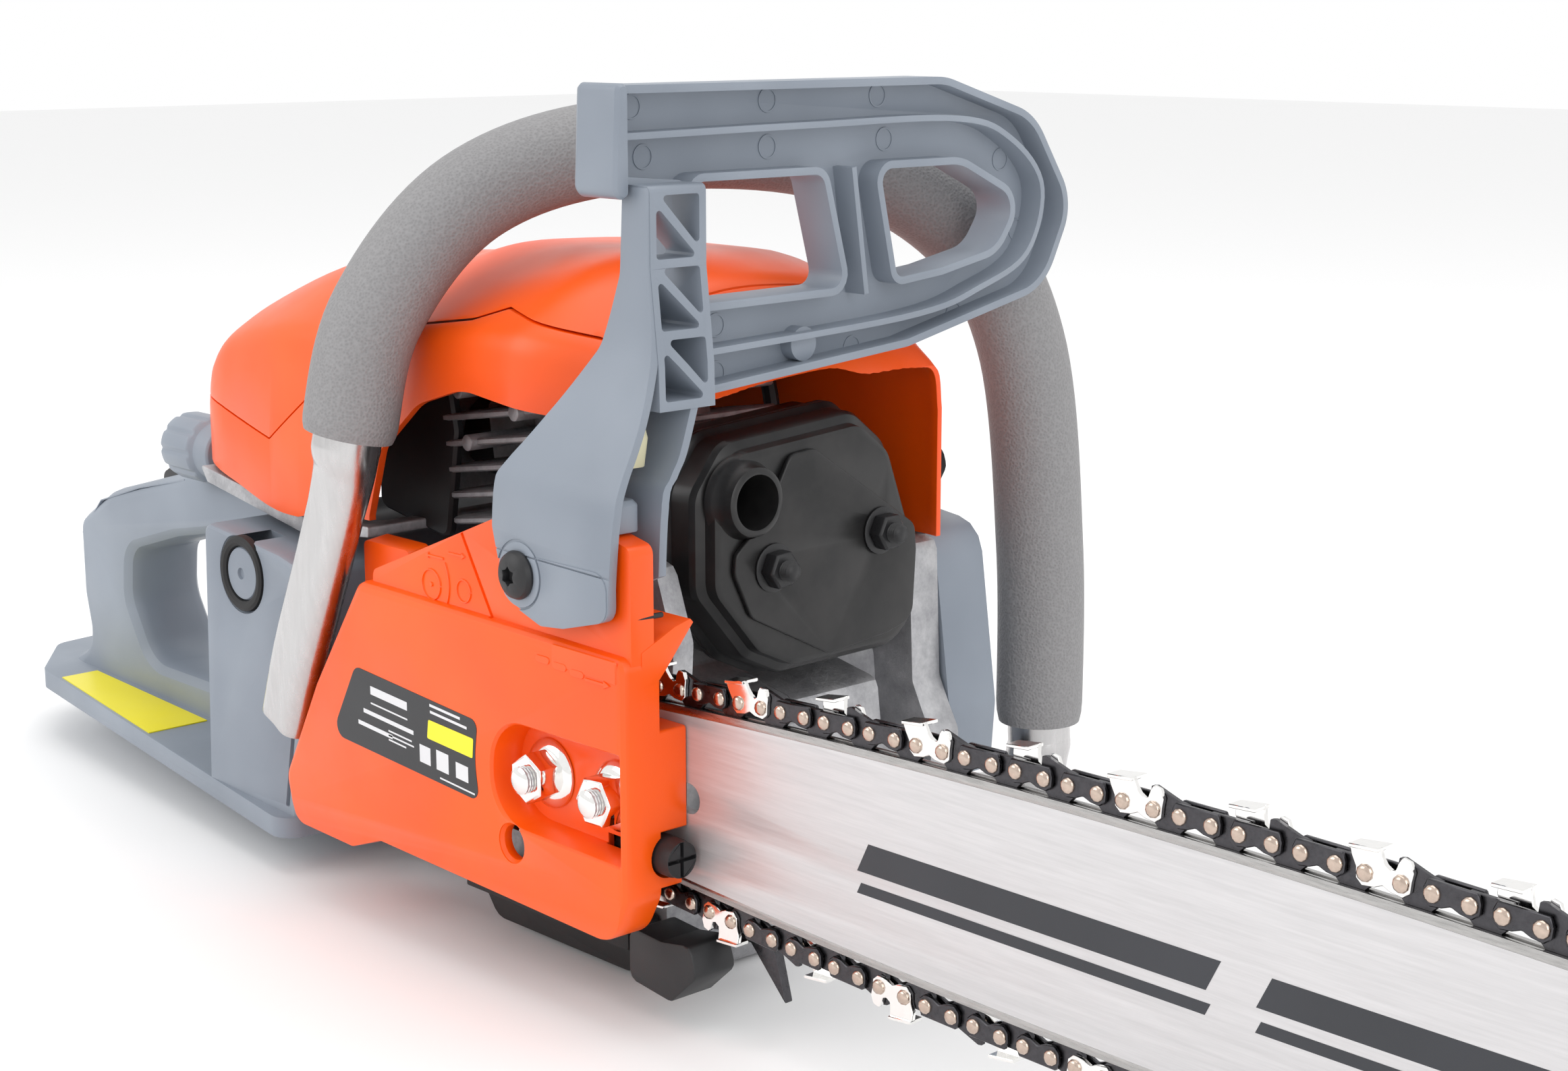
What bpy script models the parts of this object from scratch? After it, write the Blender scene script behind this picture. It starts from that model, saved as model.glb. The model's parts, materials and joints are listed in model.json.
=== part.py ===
"""Petrol chainsaw, modelled as an assembly of separate pieces.

Frame: +X runs forward to the bar tip, +Y to the saw's left (starter side), +Z up.
The origin lies on the crankcase foot, which the saw stands on.
Sizes below are in millimetres; meshes are written in metres.
"""
import math

import bmesh
import bpy
from mathutils import Vector

MM = 0.001
GAP = 0.3

# Engine and drive
CRANK_X, CRANK_Z = -16.0, 68.0
CYL_Y = 30.0
CYL_LEAN = math.radians(9.0)
BORE_R = 22.0
FIN_HALF_X, FIN_HALF_Y = 43.0, 44.0
FIN_COUNT, FIN_PITCH, FIN_THICK = 8, 8.3, 2.2
CASE_RIGHT_Y, CASE_LEFT_WEB_Y, CASE_RIM_Y = -30.0, 62.0, 95.0
CHAMBER_R = 35.0
FLYWHEEL_R = 43.0
DRUM_R = 32.0

# Bar and chain
BAR_Y, BAR_Z = -40.0, 68.0
BAR_T = 4.2
BELLY_X, BELLY_H = 247.0, 34.85
RAIL_DROP = 4.5
TAIL_X, NOSE_R = 27.0, 26.3
SPROCKET_R = 18.4
LINK_PITCH, DRIVE_LINKS = 16.51, 66
CHAIN_IN, CHAIN_OUT, CHAIN_W = 4.2, 7.4, 7.2
STUD_X = (39.0, 69.0)

# Covers and handles
COVER_FACE_Y = -65.0
WALL = 2.5
HAND_TUBE_R, SLEEVE_R = 10.5, 14.5
HANDLE_STATIONS = 40
GUARD_PIVOT = (40.5, 128.0)

COLOURS = {
    "orange": ((1.0, 0.13, 0.005, 1), 0.35, 0.0),
    "grey": ((0.24, 0.28, 0.33, 1), 0.45, 0.0),
    "grip": ((0.25, 0.24, 0.23, 1), 0.75, 0.0),
    "alloy": ((0.62, 0.62, 0.62, 1), 0.45, 1.0),
    "polished": ((0.85, 0.85, 0.85, 1), 0.2, 1.0),
    "steel": ((0.55, 0.55, 0.56, 1), 0.35, 1.0),
    "chrome": ((0.9, 0.9, 0.9, 1), 0.1, 1.0),
    "bar": ((0.65, 0.64, 0.64, 1), 0.5, 0.6),
    "dark": ((0.05, 0.045, 0.045, 1), 0.4, 0.8),
    "black": ((0.015, 0.015, 0.015, 1), 0.5, 0.0),
    "rubber": ((0.02, 0.02, 0.02, 1), 0.8, 0.0),
    "felt": ((0.8, 0.78, 0.7, 1), 0.9, 0.0),
    "copper": ((0.75, 0.35, 0.18, 1), 0.4, 1.0),
    "white": ((0.85, 0.84, 0.8, 1), 0.3, 0.0),
}


def clear_scene():
    for obj in list(bpy.data.objects):
        bpy.data.objects.remove(obj, do_unlink=True)


def material(name, look):
    colour, rough, metal = COLOURS[look]
    mat = bpy.data.materials.new(name)
    mat.use_nodes = True
    shader = mat.node_tree.nodes["Principled BSDF"]
    shader.inputs["Base Color"].default_value = colour
    shader.inputs["Roughness"].default_value = rough
    shader.inputs["Metallic"].default_value = metal
    return mat


# ---------------------------------------------------------------- outlines

def arc(cx, cy, r, a0, a1, steps):
    """Points on an arc, angles in degrees."""
    out = []
    for i in range(steps + 1):
        a = math.radians(a0 + (a1 - a0) * i / steps)
        out.append((cx + r * math.cos(a), cy + r * math.sin(a)))
    return out


def circle(cx, cy, r, steps):
    return arc(cx, cy, r, 0, 360 * (steps - 1) / steps, steps - 1)


def rounded(points, radius, steps=3):
    """Closed outline with each corner replaced by an arc; a point may carry its own radius."""
    n = len(points)
    out = []
    for i in range(n):
        p = Vector(points[i][:2])
        a = Vector(points[i - 1][:2]) - p
        b = Vector(points[(i + 1) % n][:2]) - p
        r = points[i][2] if len(points[i]) > 2 else radius
        la, lb = a.length, b.length
        a.normalize()
        b.normalize()
        cosv = max(-1.0, min(1.0, a.dot(b)))
        half = math.acos(cosv) / 2
        if r <= 0 or half > math.pi / 2 - 0.02:
            out.append((p.x, p.y))
            continue
        cut = min(r / math.tan(half), la * 0.48, lb * 0.48)
        r = cut * math.tan(half)
        centre = p + (a + b).normalized() * (r / math.sin(half))
        start = p + a * cut - centre
        end = p + b * cut - centre
        a0 = math.atan2(start.y, start.x)
        turn = math.atan2(end.y, end.x) - a0
        turn = (turn + math.pi) % (2 * math.pi) - math.pi
        for k in range(steps + 1):
            ang = a0 + turn * k / steps
            out.append((centre.x + r * math.cos(ang), centre.y + r * math.sin(ang)))
    return out


def box_outline(x0, x1, y0, y1, r=0.0, steps=3):
    return rounded([(x0, y0), (x1, y0), (x1, y1), (x0, y1)], r, steps)


# ---------------------------------------------------------------- solids

PLANES = {
    "XZ": lambda u, v, w: (u, w, v),
    "YZ": lambda u, v, w: (w, u, v),
    "XY": lambda u, v, w: (u, v, w),
}


def rings_solid(rings):
    """Closed solid through rings of equal length, capped at both ends."""
    bm = bmesh.new()
    loops = [[bm.verts.new(Vector(p)) for p in ring] for ring in rings]
    n = len(loops[0])
    for a, b in zip(loops, loops[1:]):
        for i in range(n):
            bm.faces.new((a[i], a[(i + 1) % n], b[(i + 1) % n], b[i]))
    bm.faces.new(list(reversed(loops[0])))
    bm.faces.new(loops[-1])
    bmesh.ops.recalc_face_normals(bm, faces=bm.faces)
    return bm


def prism(outline, plane, lo, hi):
    put = PLANES[plane]
    return rings_solid([[put(u, v, w) for u, v in outline] for w in (lo, hi)])


def stack(outlines, plane, levels):
    """Solid through outlines of equal length at the given levels."""
    put = PLANES[plane]
    return rings_solid([[put(u, v, w) for u, v in o] for o, w in zip(outlines, levels)])


def basis(axis):
    z = Vector(axis).normalized()
    x = z.orthogonal().normalized()
    return x, z.cross(x), z


def turned(profile, centre, axis, steps=24):
    """Solid of revolution; the profile is (radius, height) from one end to the other."""
    x, y, z = basis(axis)
    c = Vector(centre)
    rings = []
    for r, h in profile:
        ring = []
        for i in range(steps):
            a = 2 * math.pi * i / steps
            ring.append(c + z * h + (x * math.cos(a) + y * math.sin(a)) * r)
        rings.append(ring)
    return rings_solid(rings)


def ring_solid(profile, centre, axis, steps=24):
    """Closed ring: the profile (radius, height) is a closed loop that stays off the axis."""
    x, y, z = basis(axis)
    c = Vector(centre)
    bm = bmesh.new()
    loops = []
    for i in range(steps):
        a = 2 * math.pi * i / steps
        d = x * math.cos(a) + y * math.sin(a)
        loops.append([bm.verts.new(c + z * h + d * r) for r, h in profile])
    n = len(profile)
    for k in range(steps):
        a, b = loops[k], loops[(k + 1) % steps]
        for i in range(n):
            bm.faces.new((a[i], a[(i + 1) % n], b[(i + 1) % n], b[i]))
    bmesh.ops.recalc_face_normals(bm, faces=bm.faces)
    return bm


def cylinder(centre, axis, r, h, steps=24):
    """Cylinder whose axis starts at centre and runs h along axis."""
    return turned([(r, 0), (r, h)], centre, axis, steps)


def frames(path, closed=False):
    """Rotation-minimising frames along a path."""
    pts = [Vector(p) for p in path]
    n = len(pts)
    tangents = []
    for i in range(n):
        if closed:
            t = pts[(i + 1) % n] - pts[i - 1]
        else:
            t = pts[min(i + 1, n - 1)] - pts[max(i - 1, 0)]
        tangents.append(t.normalized())
    normal = tangents[0].orthogonal().normalized()
    out = []
    for p, t in zip(pts, tangents):
        normal = (normal - t * normal.dot(t)).normalized()
        out.append((p, t, normal, t.cross(normal)))
    return out


def tube(path, radius, sides=10):
    radii = radius if isinstance(radius, (list, tuple)) else [radius] * len(path)
    rings = []
    for (p, _, n, b), r in zip(frames(path), radii):
        ring = []
        for i in range(sides):
            a = 2 * math.pi * i / sides
            ring.append(p + (n * math.cos(a) + b * math.sin(a)) * r)
        rings.append(ring)
    return rings_solid(rings)


def pipe(stations, r_out, r_in, sides=10):
    """Open-ended pipe through the given stations, each as frames() returns it."""
    bm = bmesh.new()
    walls = []
    for r in (r_out, r_in):
        rings = []
        for p, _, n, b in stations:
            ring = []
            for i in range(sides):
                a = 2 * math.pi * i / sides
                ring.append(bm.verts.new(p + (n * math.cos(a) + b * math.sin(a)) * r))
            rings.append(ring)
        walls.append(rings)
    for rings in walls:
        for a, b in zip(rings, rings[1:]):
            for i in range(sides):
                bm.faces.new((a[i], a[(i + 1) % sides], b[(i + 1) % sides], b[i]))
    for end in (0, -1):
        a, b = walls[0][end], walls[1][end]
        for i in range(sides):
            bm.faces.new((a[i], a[(i + 1) % sides], b[(i + 1) % sides], b[i]))
    bmesh.ops.recalc_face_normals(bm, faces=bm.faces)
    return bm


def curve_points(knots, count):
    """Smooth centripetal curve through the knots."""
    pts = [Vector(k) for k in knots]
    pts = [pts[0] * 2 - pts[1]] + pts + [pts[-1] * 2 - pts[-2]]
    out = []
    spans = len(pts) - 3
    for i in range(count):
        s = i / (count - 1) * spans
        k = min(int(s), spans - 1)
        t = s - k
        p0, p1, p2, p3 = pts[k:k + 4]
        out.append(0.5 * ((2 * p1) + (p2 - p0) * t + (2 * p0 - 5 * p1 + 4 * p2 - p3) * t * t
                          + (3 * p1 - p0 - 3 * p2 + p3) * t ** 3))
    return out


# ---------------------------------------------------------------- booleans and output

def temp_object(bm):
    mesh = bpy.data.meshes.new("temp")
    bm.to_mesh(mesh)
    bm.free()
    obj = bpy.data.objects.new("temp", mesh)
    bpy.context.scene.collection.objects.link(obj)
    return obj


def combine(base, parts, operation):
    """Boolean of a bmesh with a list of bmeshes, all consumed; returns a new bmesh."""
    target = temp_object(base)
    for part in parts:
        cutter = temp_object(part)
        mod = target.modifiers.new("cut", "BOOLEAN")
        mod.operation = operation
        mod.solver = "EXACT"
        mod.object = cutter
        view = bpy.context.evaluated_depsgraph_get()
        result = bpy.data.meshes.new_from_object(target.evaluated_get(view))
        target.modifiers.remove(mod)
        target.data = result
        bpy.data.objects.remove(cutter, do_unlink=True)
    bm = bmesh.new()
    bm.from_mesh(target.data)
    bpy.data.objects.remove(target, do_unlink=True)
    return bm


def cut(base, *parts):
    return combine(base, parts, "DIFFERENCE")


def join(base, *parts):
    return combine(base, parts, "UNION")


def common(base, *parts):
    return combine(base, parts, "INTERSECT")


def node(name, bm, look, pivot=(0, 0, 0)):
    """Write a bmesh in millimetres as a named object whose origin is the pivot."""
    bmesh.ops.remove_doubles(bm, verts=bm.verts, dist=0.002)
    bmesh.ops.dissolve_degenerate(bm, edges=bm.edges, dist=0.0005)
    bmesh.ops.triangulate(bm, faces=bm.faces)
    bmesh.ops.translate(bm, verts=bm.verts, vec=-Vector(pivot))
    bmesh.ops.scale(bm, verts=bm.verts, vec=(MM, MM, MM))
    mesh = bpy.data.meshes.new(name)
    bm.to_mesh(mesh)
    bm.free()
    mesh.shade_smooth()
    mesh.set_sharp_from_angle(angle=math.radians(30))
    mesh.materials.append(material(name, look))
    obj = bpy.data.objects.new(name, mesh)
    obj.location = Vector(pivot) * MM
    bpy.context.scene.collection.objects.link(obj)
    return obj


# ---------------------------------------------------------------- bar and chain

def rivet_half(x, nose_x):
    """Height of the rivet line over the bar's centreline."""
    if x <= BELLY_X:
        return BELLY_H - 3.75 * ((x - BELLY_X) / 150.0) ** 2
    return BELLY_H - (BELLY_H - NOSE_R) * ((x - BELLY_X) / (nose_x - BELLY_X)) ** 2


def chain_line(nose_x, offset=0.0, run=18, turn=12):
    """Closed line of the rivets, moved outwards by offset, clockwise seen from the right."""
    tail_h = rivet_half(TAIL_X, nose_x)
    dx = TAIL_X - CRANK_X
    reach = math.hypot(dx, tail_h)
    tangent = math.atan2(tail_h, dx) + math.acos(SPROCKET_R / reach)
    top = []
    for i in range(run + 1):
        x = TAIL_X + (nose_x - TAIL_X) * i / run
        top.append((x, rivet_half(x, nose_x) + offset))
    nose = []
    for i in range(1, turn):
        a = math.pi / 2 - math.pi * i / turn
        nose.append((nose_x + (NOSE_R + offset) * math.cos(a), (NOSE_R + offset) * math.sin(a)))
    tail = []
    for i in range(turn + 1):
        a = -tangent - (2 * math.pi - 2 * tangent) * i / turn
        r = SPROCKET_R + offset
        tail.append((CRANK_X + r * math.cos(a), r * math.sin(a)))
    bottom = [(x, -z) for x, z in reversed(top)]
    return [(x, z + BAR_Z) for x, z in top + nose + bottom + tail]


def line_length(points):
    total = 0.0
    for a, b in zip(points, points[1:] + points[:1]):
        total += math.hypot(a[0] - b[0], a[1] - b[1])
    return total


def solve_nose():
    """Place the nose so that the loop has its full count of drive links."""
    low, high = 420.0, 500.0
    for _ in range(40):
        mid = (low + high) / 2
        if line_length(chain_line(mid, 0.0, 120, 60)) < LINK_PITCH * DRIVE_LINKS:
            low = mid
        else:
            high = mid
    return low


NOSE_X = solve_nose()


def bar_outline(steps=14):
    top = []
    for i in range(steps + 1):
        x = TAIL_X + (NOSE_X - TAIL_X) * i / steps
        top.append((x, BAR_Z + rivet_half(x, NOSE_X) - RAIL_DROP))
    nose = arc(NOSE_X, BAR_Z, NOSE_R - RAIL_DROP, 90, -90, 12)[1:-1]
    bottom = [(x, 2 * BAR_Z - z) for x, z in reversed(top)]
    tail = [(TAIL_X - 5, BAR_Z - 14), (TAIL_X - 5, BAR_Z + 14)]
    return top + nose + bottom + tail


def slot_outline(x0, x1, z, r, steps=6):
    return arc(x1 - r, z, r, -90, 90, steps) + arc(x0 + r, z, r, 90, 270, steps)


def make_bar():
    bar = prism(bar_outline(), "XZ", BAR_Y - BAR_T / 2, BAR_Y + BAR_T / 2)
    slot = prism(slot_outline(31, 88.6, BAR_Z, 4.4), "XZ", BAR_Y - 9, BAR_Y + 9)
    adjuster = cylinder((60, BAR_Y - 9, 53), (0, 1, 0), 3.4, 18, 12)
    nose_gap = cylinder((NOSE_X, BAR_Y - 0.95, BAR_Z), (0, 1, 0), NOSE_R + 9, 1.9, 28)
    bar = cut(bar, slot, adjuster, nose_gap)
    hub = cylinder((NOSE_X, BAR_Y - 1.5, BAR_Z), (0, 1, 0), 6.0, 3.0, 16)
    node("guide_bar", join(bar, hub), "bar")

    teeth = []
    for i in range(10):
        for da, r in ((-0.22, 18.2), (-0.1, 20.8), (0.1, 20.8), (0.22, 18.2)):
            a = 2 * math.pi * i / 10 + da
            teeth.append((NOSE_X + r * math.cos(a), BAR_Z + r * math.sin(a)))
    star = prism(teeth, "XZ", BAR_Y - 0.6, BAR_Y + 0.6)
    hole = cylinder((NOSE_X, BAR_Y - 3, BAR_Z), (0, 1, 0), 6.4, 6, 16)
    node("nose_sprocket", cut(star, hole), "steel", (NOSE_X, BAR_Y, BAR_Z))


def make_chain():
    outer = chain_line(NOSE_X, CHAIN_OUT)
    inner = chain_line(NOSE_X, -CHAIN_IN)
    bm = bmesh.new()
    y0, y1 = BAR_Y - CHAIN_W / 2, BAR_Y + CHAIN_W / 2
    loops = []
    for (xo, zo), (xi, zi) in zip(outer, inner):
        ring = ((xo, y0, zo), (xo, y1, zo), (xi, y1, zi), (xi, y0, zi))
        loops.append([bm.verts.new(p) for p in ring])
    for k in range(len(loops)):
        a, b = loops[k], loops[(k + 1) % len(loops)]
        for i in range(4):
            bm.faces.new((a[i], a[(i + 1) % 4], b[(i + 1) % 4], b[i]))
    bmesh.ops.recalc_face_normals(bm, faces=bm.faces)
    node("saw_chain", bm, "dark")


# ---------------------------------------------------------------- engine

UP = Vector((-math.sin(CYL_LEAN), 0, math.cos(CYL_LEAN)))
FORE = Vector((math.cos(CYL_LEAN), 0, math.sin(CYL_LEAN)))
CRANK = Vector((CRANK_X, CYL_Y, CRANK_Z))
DECK_H = 38.0
EXHAUST_H = 70.0
PISTON_TOP = 98.0


def on_cylinder(fore, left, up):
    """Point in the leaning cylinder's own axes, from the crank axis."""
    return CRANK + FORE * fore + Vector((0, left, 0)) + UP * up


def leaning_prism(outline, lo, hi):
    """Prism across the cylinder axis; the outline is (fore, left)."""
    return rings_solid([[on_cylinder(u, v, h) for u, v in outline] for h in (lo, hi)])


def leaning_box(fore, left, up, r):
    """Round-edged box in the leaning cylinder's own axes."""
    outline = box_outline(left[0], left[1], up[0], up[1], r, 2)
    return rings_solid([[on_cylinder(f, a, b) for a, b in outline] for f in fore])


def case_outline():
    front = on_cylinder(30, 0, DECK_H)
    rear = on_cylinder(-36, 0, DECK_H)
    return rounded([(-90, 0, 3), (56, 0, 6), (60, 12), (60, 54), (52, 60), (50, 76), (18, 82),
                    (front.x, front.z), (rear.x, rear.z), (-70, 84), (-84, 34)], 4, 2)


def make_crankcase():
    chamber = ((CRANK_X, 10, CRANK_Z), (0, 1, 0))
    spigot_from = on_cylinder(0, 0, 20)
    split = CYL_Y - GAP / 2
    right = prism(case_outline(), "XZ", CASE_RIGHT_Y, split)
    ear = prism(rounded([(30, 76), (58, 72), (60, 104), (52, 126), (42, 126), (34, 104)], 5, 2),
                "XZ", -26.5, -19)
    ear_hole = cylinder((48, -40, 117), (0, 1, 0), 3.4, 30, 12)
    nose_block = prism(box_outline(50, 78, 30, 80, 4, 2), "XZ", CASE_RIGHT_Y, 12)
    bar_pad = prism(box_outline(24, 78, 46, 90, 3, 2), "XZ", BAR_Y + BAR_T / 2 + GAP, -28)
    right = cut(join(right, cut(ear, ear_hole), nose_block, bar_pad),
                cylinder(*chamber, CHAMBER_R, 40, 28),
                cylinder((CRANK_X, -60, CRANK_Z), (0, 1, 0), 8.3, 100, 16),
                cylinder((CRANK_X, -40, CRANK_Z), (0, 1, 0), 17.5, 22, 20),
                cylinder((CRANK_X, -4, CRANK_Z), (0, 1, 0), 14.3, 20, 20),
                cylinder(spigot_from, UP, 25.4, 60, 24),
                prism(box_outline(24, 54, 7, 50, 5, 2), "XZ", -25, 60))
    studs = [cylinder((x, -66, BAR_Z), (0, 1, 0), 3.9, 45, 12) for x in STUD_X]
    right = join(right, *studs)
    node("crankcase_right", right, "alloy")

    left = prism(case_outline(), "XZ", CYL_Y + GAP / 2, CASE_LEFT_WEB_Y + 4)
    bowl = cylinder((CRANK_X, 50, CRANK_Z), (0, 1, 0), 49.5, CASE_RIM_Y - 50, 32)
    foot = prism(box_outline(-70, 59, 0.4, 34, 6, 2), "XZ", 55, CASE_RIM_Y)
    front = prism(rounded([(20, 20), (58.5, 20), (58.5, 56), (54, 64), (50, 72), (48, 117),
                           (28, 117), (24, 80)], 4, 2), "XZ", 82, CASE_RIM_Y - 0.5)
    left = cut(join(left, bowl, foot, front),
               cylinder(*chamber, CHAMBER_R, 40, 28),
               cylinder((CRANK_X, 40, CRANK_Z), (0, 1, 0), 8.3, 60, 16),
               cylinder((CRANK_X, 40, CRANK_Z), (0, 1, 0), 14.3, 20.4, 20),
               leaning_prism([(-48, -20), (36, -20), (36, 76), (-48, 76)], DECK_H + 0.15, 170),
               prism([(-20, 83), (81.5, 83), (81.5, 180), (-20, 180)], "YZ", 20, 70),
               prism([(-36, 110), (4, 110), (4, 130), (-36, 130)], "XZ", 70, 110),
               cylinder((CRANK_X, CASE_LEFT_WEB_Y, CRANK_Z), (0, 1, 0), 45.5, 60, 32),
               cylinder(spigot_from, UP, 25.4, 60, 24),
               prism(box_outline(24, 54, 7, 50, 5, 2), "XZ", 20, 56),
               cylinder((46, 50, 24), (0, 1, 0), 9, 60, 16))
    node("crankcase_left", left, "alloy")


def make_cylinder():
    barrel = leaning_prism(circle(0, 0, 28, 24), DECK_H + GAP, 109)
    flange = leaning_prism(box_outline(-30, 30, -34, 34, 8, 2), DECK_H + GAP, DECK_H + 7)
    body = join(barrel, flange)
    first = DECK_H + 12
    for i in range(FIN_COUNT):
        h = first + i * FIN_PITCH
        rear = -FIN_HALF_X + (10 if i < 2 else 0)
        fin = leaning_prism(rounded([(rear, -FIN_HALF_Y), (30, -FIN_HALF_Y), (30, FIN_HALF_Y),
                                     (rear, FIN_HALF_Y)], 9, 1), h, h + FIN_THICK)
        body = join(body, fin)
    intake = rings_solid([[on_cylinder(f, a, 84 + b) for a, b in box_outline(-16, 16, -12, 12, 3, 1)]
                          for f in (-50, -20)])
    exhaust = rings_solid([[on_cylinder(f, a, EXHAUST_H + b) for a, b in box_outline(-15, 15, -12, 12, 3, 1)]
                           for f in (20, 51.5)])
    body = join(body, intake, exhaust)
    body = cut(body,
               leaning_prism(circle(0, 0, BORE_R, 24), 0, 101),
               leaning_prism(circle(0, 0, 5.2, 12), 95, 140),
               leaning_prism(circle(0, 0, 10, 16), 109.2, 140),
               cylinder(on_cylinder(-70, 0, 84), FORE, 9, 60, 14),
               cylinder(on_cylinder(15, 0, EXHAUST_H), FORE, 9, 60, 14))
    node("cylinder", body, "alloy")

    plug = turned([(4.9, 0), (4.9, 8.4), (9, 8.6), (9, 14), (5.5, 15), (4.5, 24), (2.5, 25), (2.5, 29)],
                  on_cylinder(0, 0, 101), UP, 12)
    node("spark_plug", plug, "white")
    boot = turned([(8.5, 0), (9, 4), (8.5, 14), (5, 17)], on_cylinder(0, 0, 117), UP, 12)
    boot = join(boot, cylinder(on_cylinder(0, 0, 125), (0, 1, 0), 4.6, 14, 10))
    boot = cut(boot, cylinder(on_cylinder(0, 0, 110), UP, 6.0, 20.5, 12))
    node("spark_plug_boot", boot, "rubber")


def make_piston():
    top = PISTON_TOP
    piston = cut(leaning_prism(circle(0, 0, BORE_R - 0.3, 24), top - 30, top),
                 leaning_prism(circle(0, 0, BORE_R - 4, 20), top - 40, top - 5))
    pin = cylinder(on_cylinder(0, -19, top - 16), (0, 1, 0), 5, 38, 12)
    node("piston", join(piston, pin), "alloy", on_cylinder(0, 0, top))


def make_crankshaft():
    """Shaft with two webs and a crank pin at top dead centre."""
    stroke = 16.0
    shaft_r = turned([(7.9, -77), (7.9, -5)], CRANK - Vector((0, 12, 0)), (0, 1, 0), 16)
    shaft_l = turned([(7.9, 5), (7.9, 48)], CRANK + Vector((0, 12, 0)), (0, 1, 0), 16)
    body = None
    for side in (-1, 1):
        y0 = CYL_Y + side * 7
        web = cylinder((CRANK_X, min(y0, y0 + side * 11), CRANK_Z), (0, 1, 0), 32, 11, 28)
        body = web if body is None else join(body, web)
    pin = cylinder(on_cylinder(0, -16, stroke), (0, 1, 0), 5.5, 32, 12)
    body = join(body, pin, shaft_r, shaft_l)
    node("crankshaft", body, "steel", CRANK)

    for place, y in (("right", -3.5), ("left", 50.6)):
        bearing = ring_solid([(8.2, y), (14, y), (14, y + 9.5), (8.2, y + 9.5)],
                             (CRANK_X, 0, CRANK_Z), (0, 1, 0), 20)
        node("crank_bearing_" + place, bearing, "steel")


def make_flywheel():
    wheel = turned([(FLYWHEEL_R, 0), (FLYWHEEL_R, 8), (20, 8), (18, 16)],
                   (CRANK_X, 66, CRANK_Z), (0, 1, 0), 32)
    blades = []
    for i in range(10):
        a = 2 * math.pi * i / 10
        rad = Vector((math.cos(a), 0, math.sin(a)))
        side = Vector((-math.sin(a), 0, math.cos(a)))
        ring = [(20, -1.2), (FLYWHEEL_R - 1, 6), (FLYWHEEL_R - 1, 8.5), (20, 1.2)]
        base = Vector((CRANK_X, 0, CRANK_Z))
        blades.append(rings_solid([[base + rad * r + side * s + Vector((0, y, 0)) for r, s in ring]
                                   for y in (72, 88)]))
    wheel = cut(join(wheel, *blades), cylinder((CRANK_X, 50, CRANK_Z), (0, 1, 0), 8.1, 60, 16))
    node("flywheel", wheel, "alloy", (CRANK_X, 66, CRANK_Z))

    coil = prism(box_outline(-34, 2, 112.5, 132, 3, 2), "XZ", 77, 91)
    node("ignition_coil", coil, "black")
    lead = curve_points([(-16, 84, 132.4), (-17, 84, 150), (-22, 82, 172), (-30, 72, 187),
                         (-34.5, 58, 191.6), on_cylinder(0, 17, 125), on_cylinder(0, 14.9, 125)], 20)
    node("ignition_lead", tube(lead, 2.6, 8), "rubber")


def muffler_outline(inset=0.0, lift=0.0):
    """Front view of the silencer box, (left, up)."""
    pts = [(-15.6, 115), (-15.6, 146), (-4, 161), (52, 165), (66, 154), (79, 119), (79, 92),
           (70, 85), (20, 84.5), (4, 92)]
    cx, cz = 32.0, 124.0
    scale = 1 - inset / 42.0
    return rounded([(cx + (y - cx) * scale, cz + (z - cz) * scale + lift) for y, z in pts], 9, 3)


MUFFLER_BACK, MUFFLER_SEAM, MUFFLER_FACE = 26.0, 41.0, 59.0
OUTLET = (2.5, 142.5)
MUFFLER_BOLTS = ((11.5, 121.5), (56.0, 126.5))


def make_muffler():
    back = cut(stack([muffler_outline(3), muffler_outline(0)], "YZ", [MUFFLER_BACK, MUFFLER_SEAM]),
               stack([muffler_outline(4.5), muffler_outline(1.5)], "YZ",
                     [MUFFLER_BACK + 1.5, MUFFLER_SEAM + 0.1]),
               cylinder(on_cylinder(40, 0, EXHAUST_H), FORE, 9, 30, 14),
               *[cylinder((10, y, z), (1, 0, 0), 3.3, 30, 12) for y, z in MUFFLER_BOLTS])
    node("muffler_back", back, "black")
    face = cut(stack([muffler_outline(0), muffler_outline(0), muffler_outline(4)], "YZ",
                     [MUFFLER_SEAM + GAP, MUFFLER_FACE - 6, MUFFLER_FACE]),
               stack([muffler_outline(1.5), muffler_outline(1.5), muffler_outline(5)], "YZ",
                     [MUFFLER_SEAM, MUFFLER_FACE - 7, MUFFLER_FACE - 1.5]))
    spout = cylinder((MUFFLER_FACE - 4, *OUTLET), (1, 0, 0), 9.5, 9, 20)
    face = cut(join(face, spout), cylinder((MUFFLER_FACE - 10, *OUTLET), (1, 0, 0), 8.2, 20, 20),
               *[cylinder((50, y, z), (1, 0, 0), 3.3, 30, 12) for y, z in MUFFLER_BOLTS])
    node("muffler_face", face, "black")
    plate = rounded([(15, 150), (27, 155), (71, 127), (71, 112), (58, 97), (36, 92), (3, 107),
                     (-4, 121), (4, 130)], 4, 2)
    x0 = MUFFLER_FACE + GAP
    shield = cut(prism(plate, "YZ", x0, x0 + 1.5),
                 cylinder((50, *OUTLET), (1, 0, 0), 10.0, 30, 20),
                 *[cylinder((50, y, z), (1, 0, 0), 3.3, 30, 12) for y, z in MUFFLER_BOLTS])
    node("heat_shield", shield, "black")
    for side, (y, z) in zip(("right", "left"), MUFFLER_BOLTS):
        bolt = turned([(2.9, 28), (2.9, x0 + 1.8), (5.6, x0 + 1.8), (5.6, x0 + 6), (2.9, x0 + 6.2),
                       (2.9, x0 + 10)], (0, y, z), (1, 0, 0), 12)
        node("muffler_bolt_" + side, bolt, "black")


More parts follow.
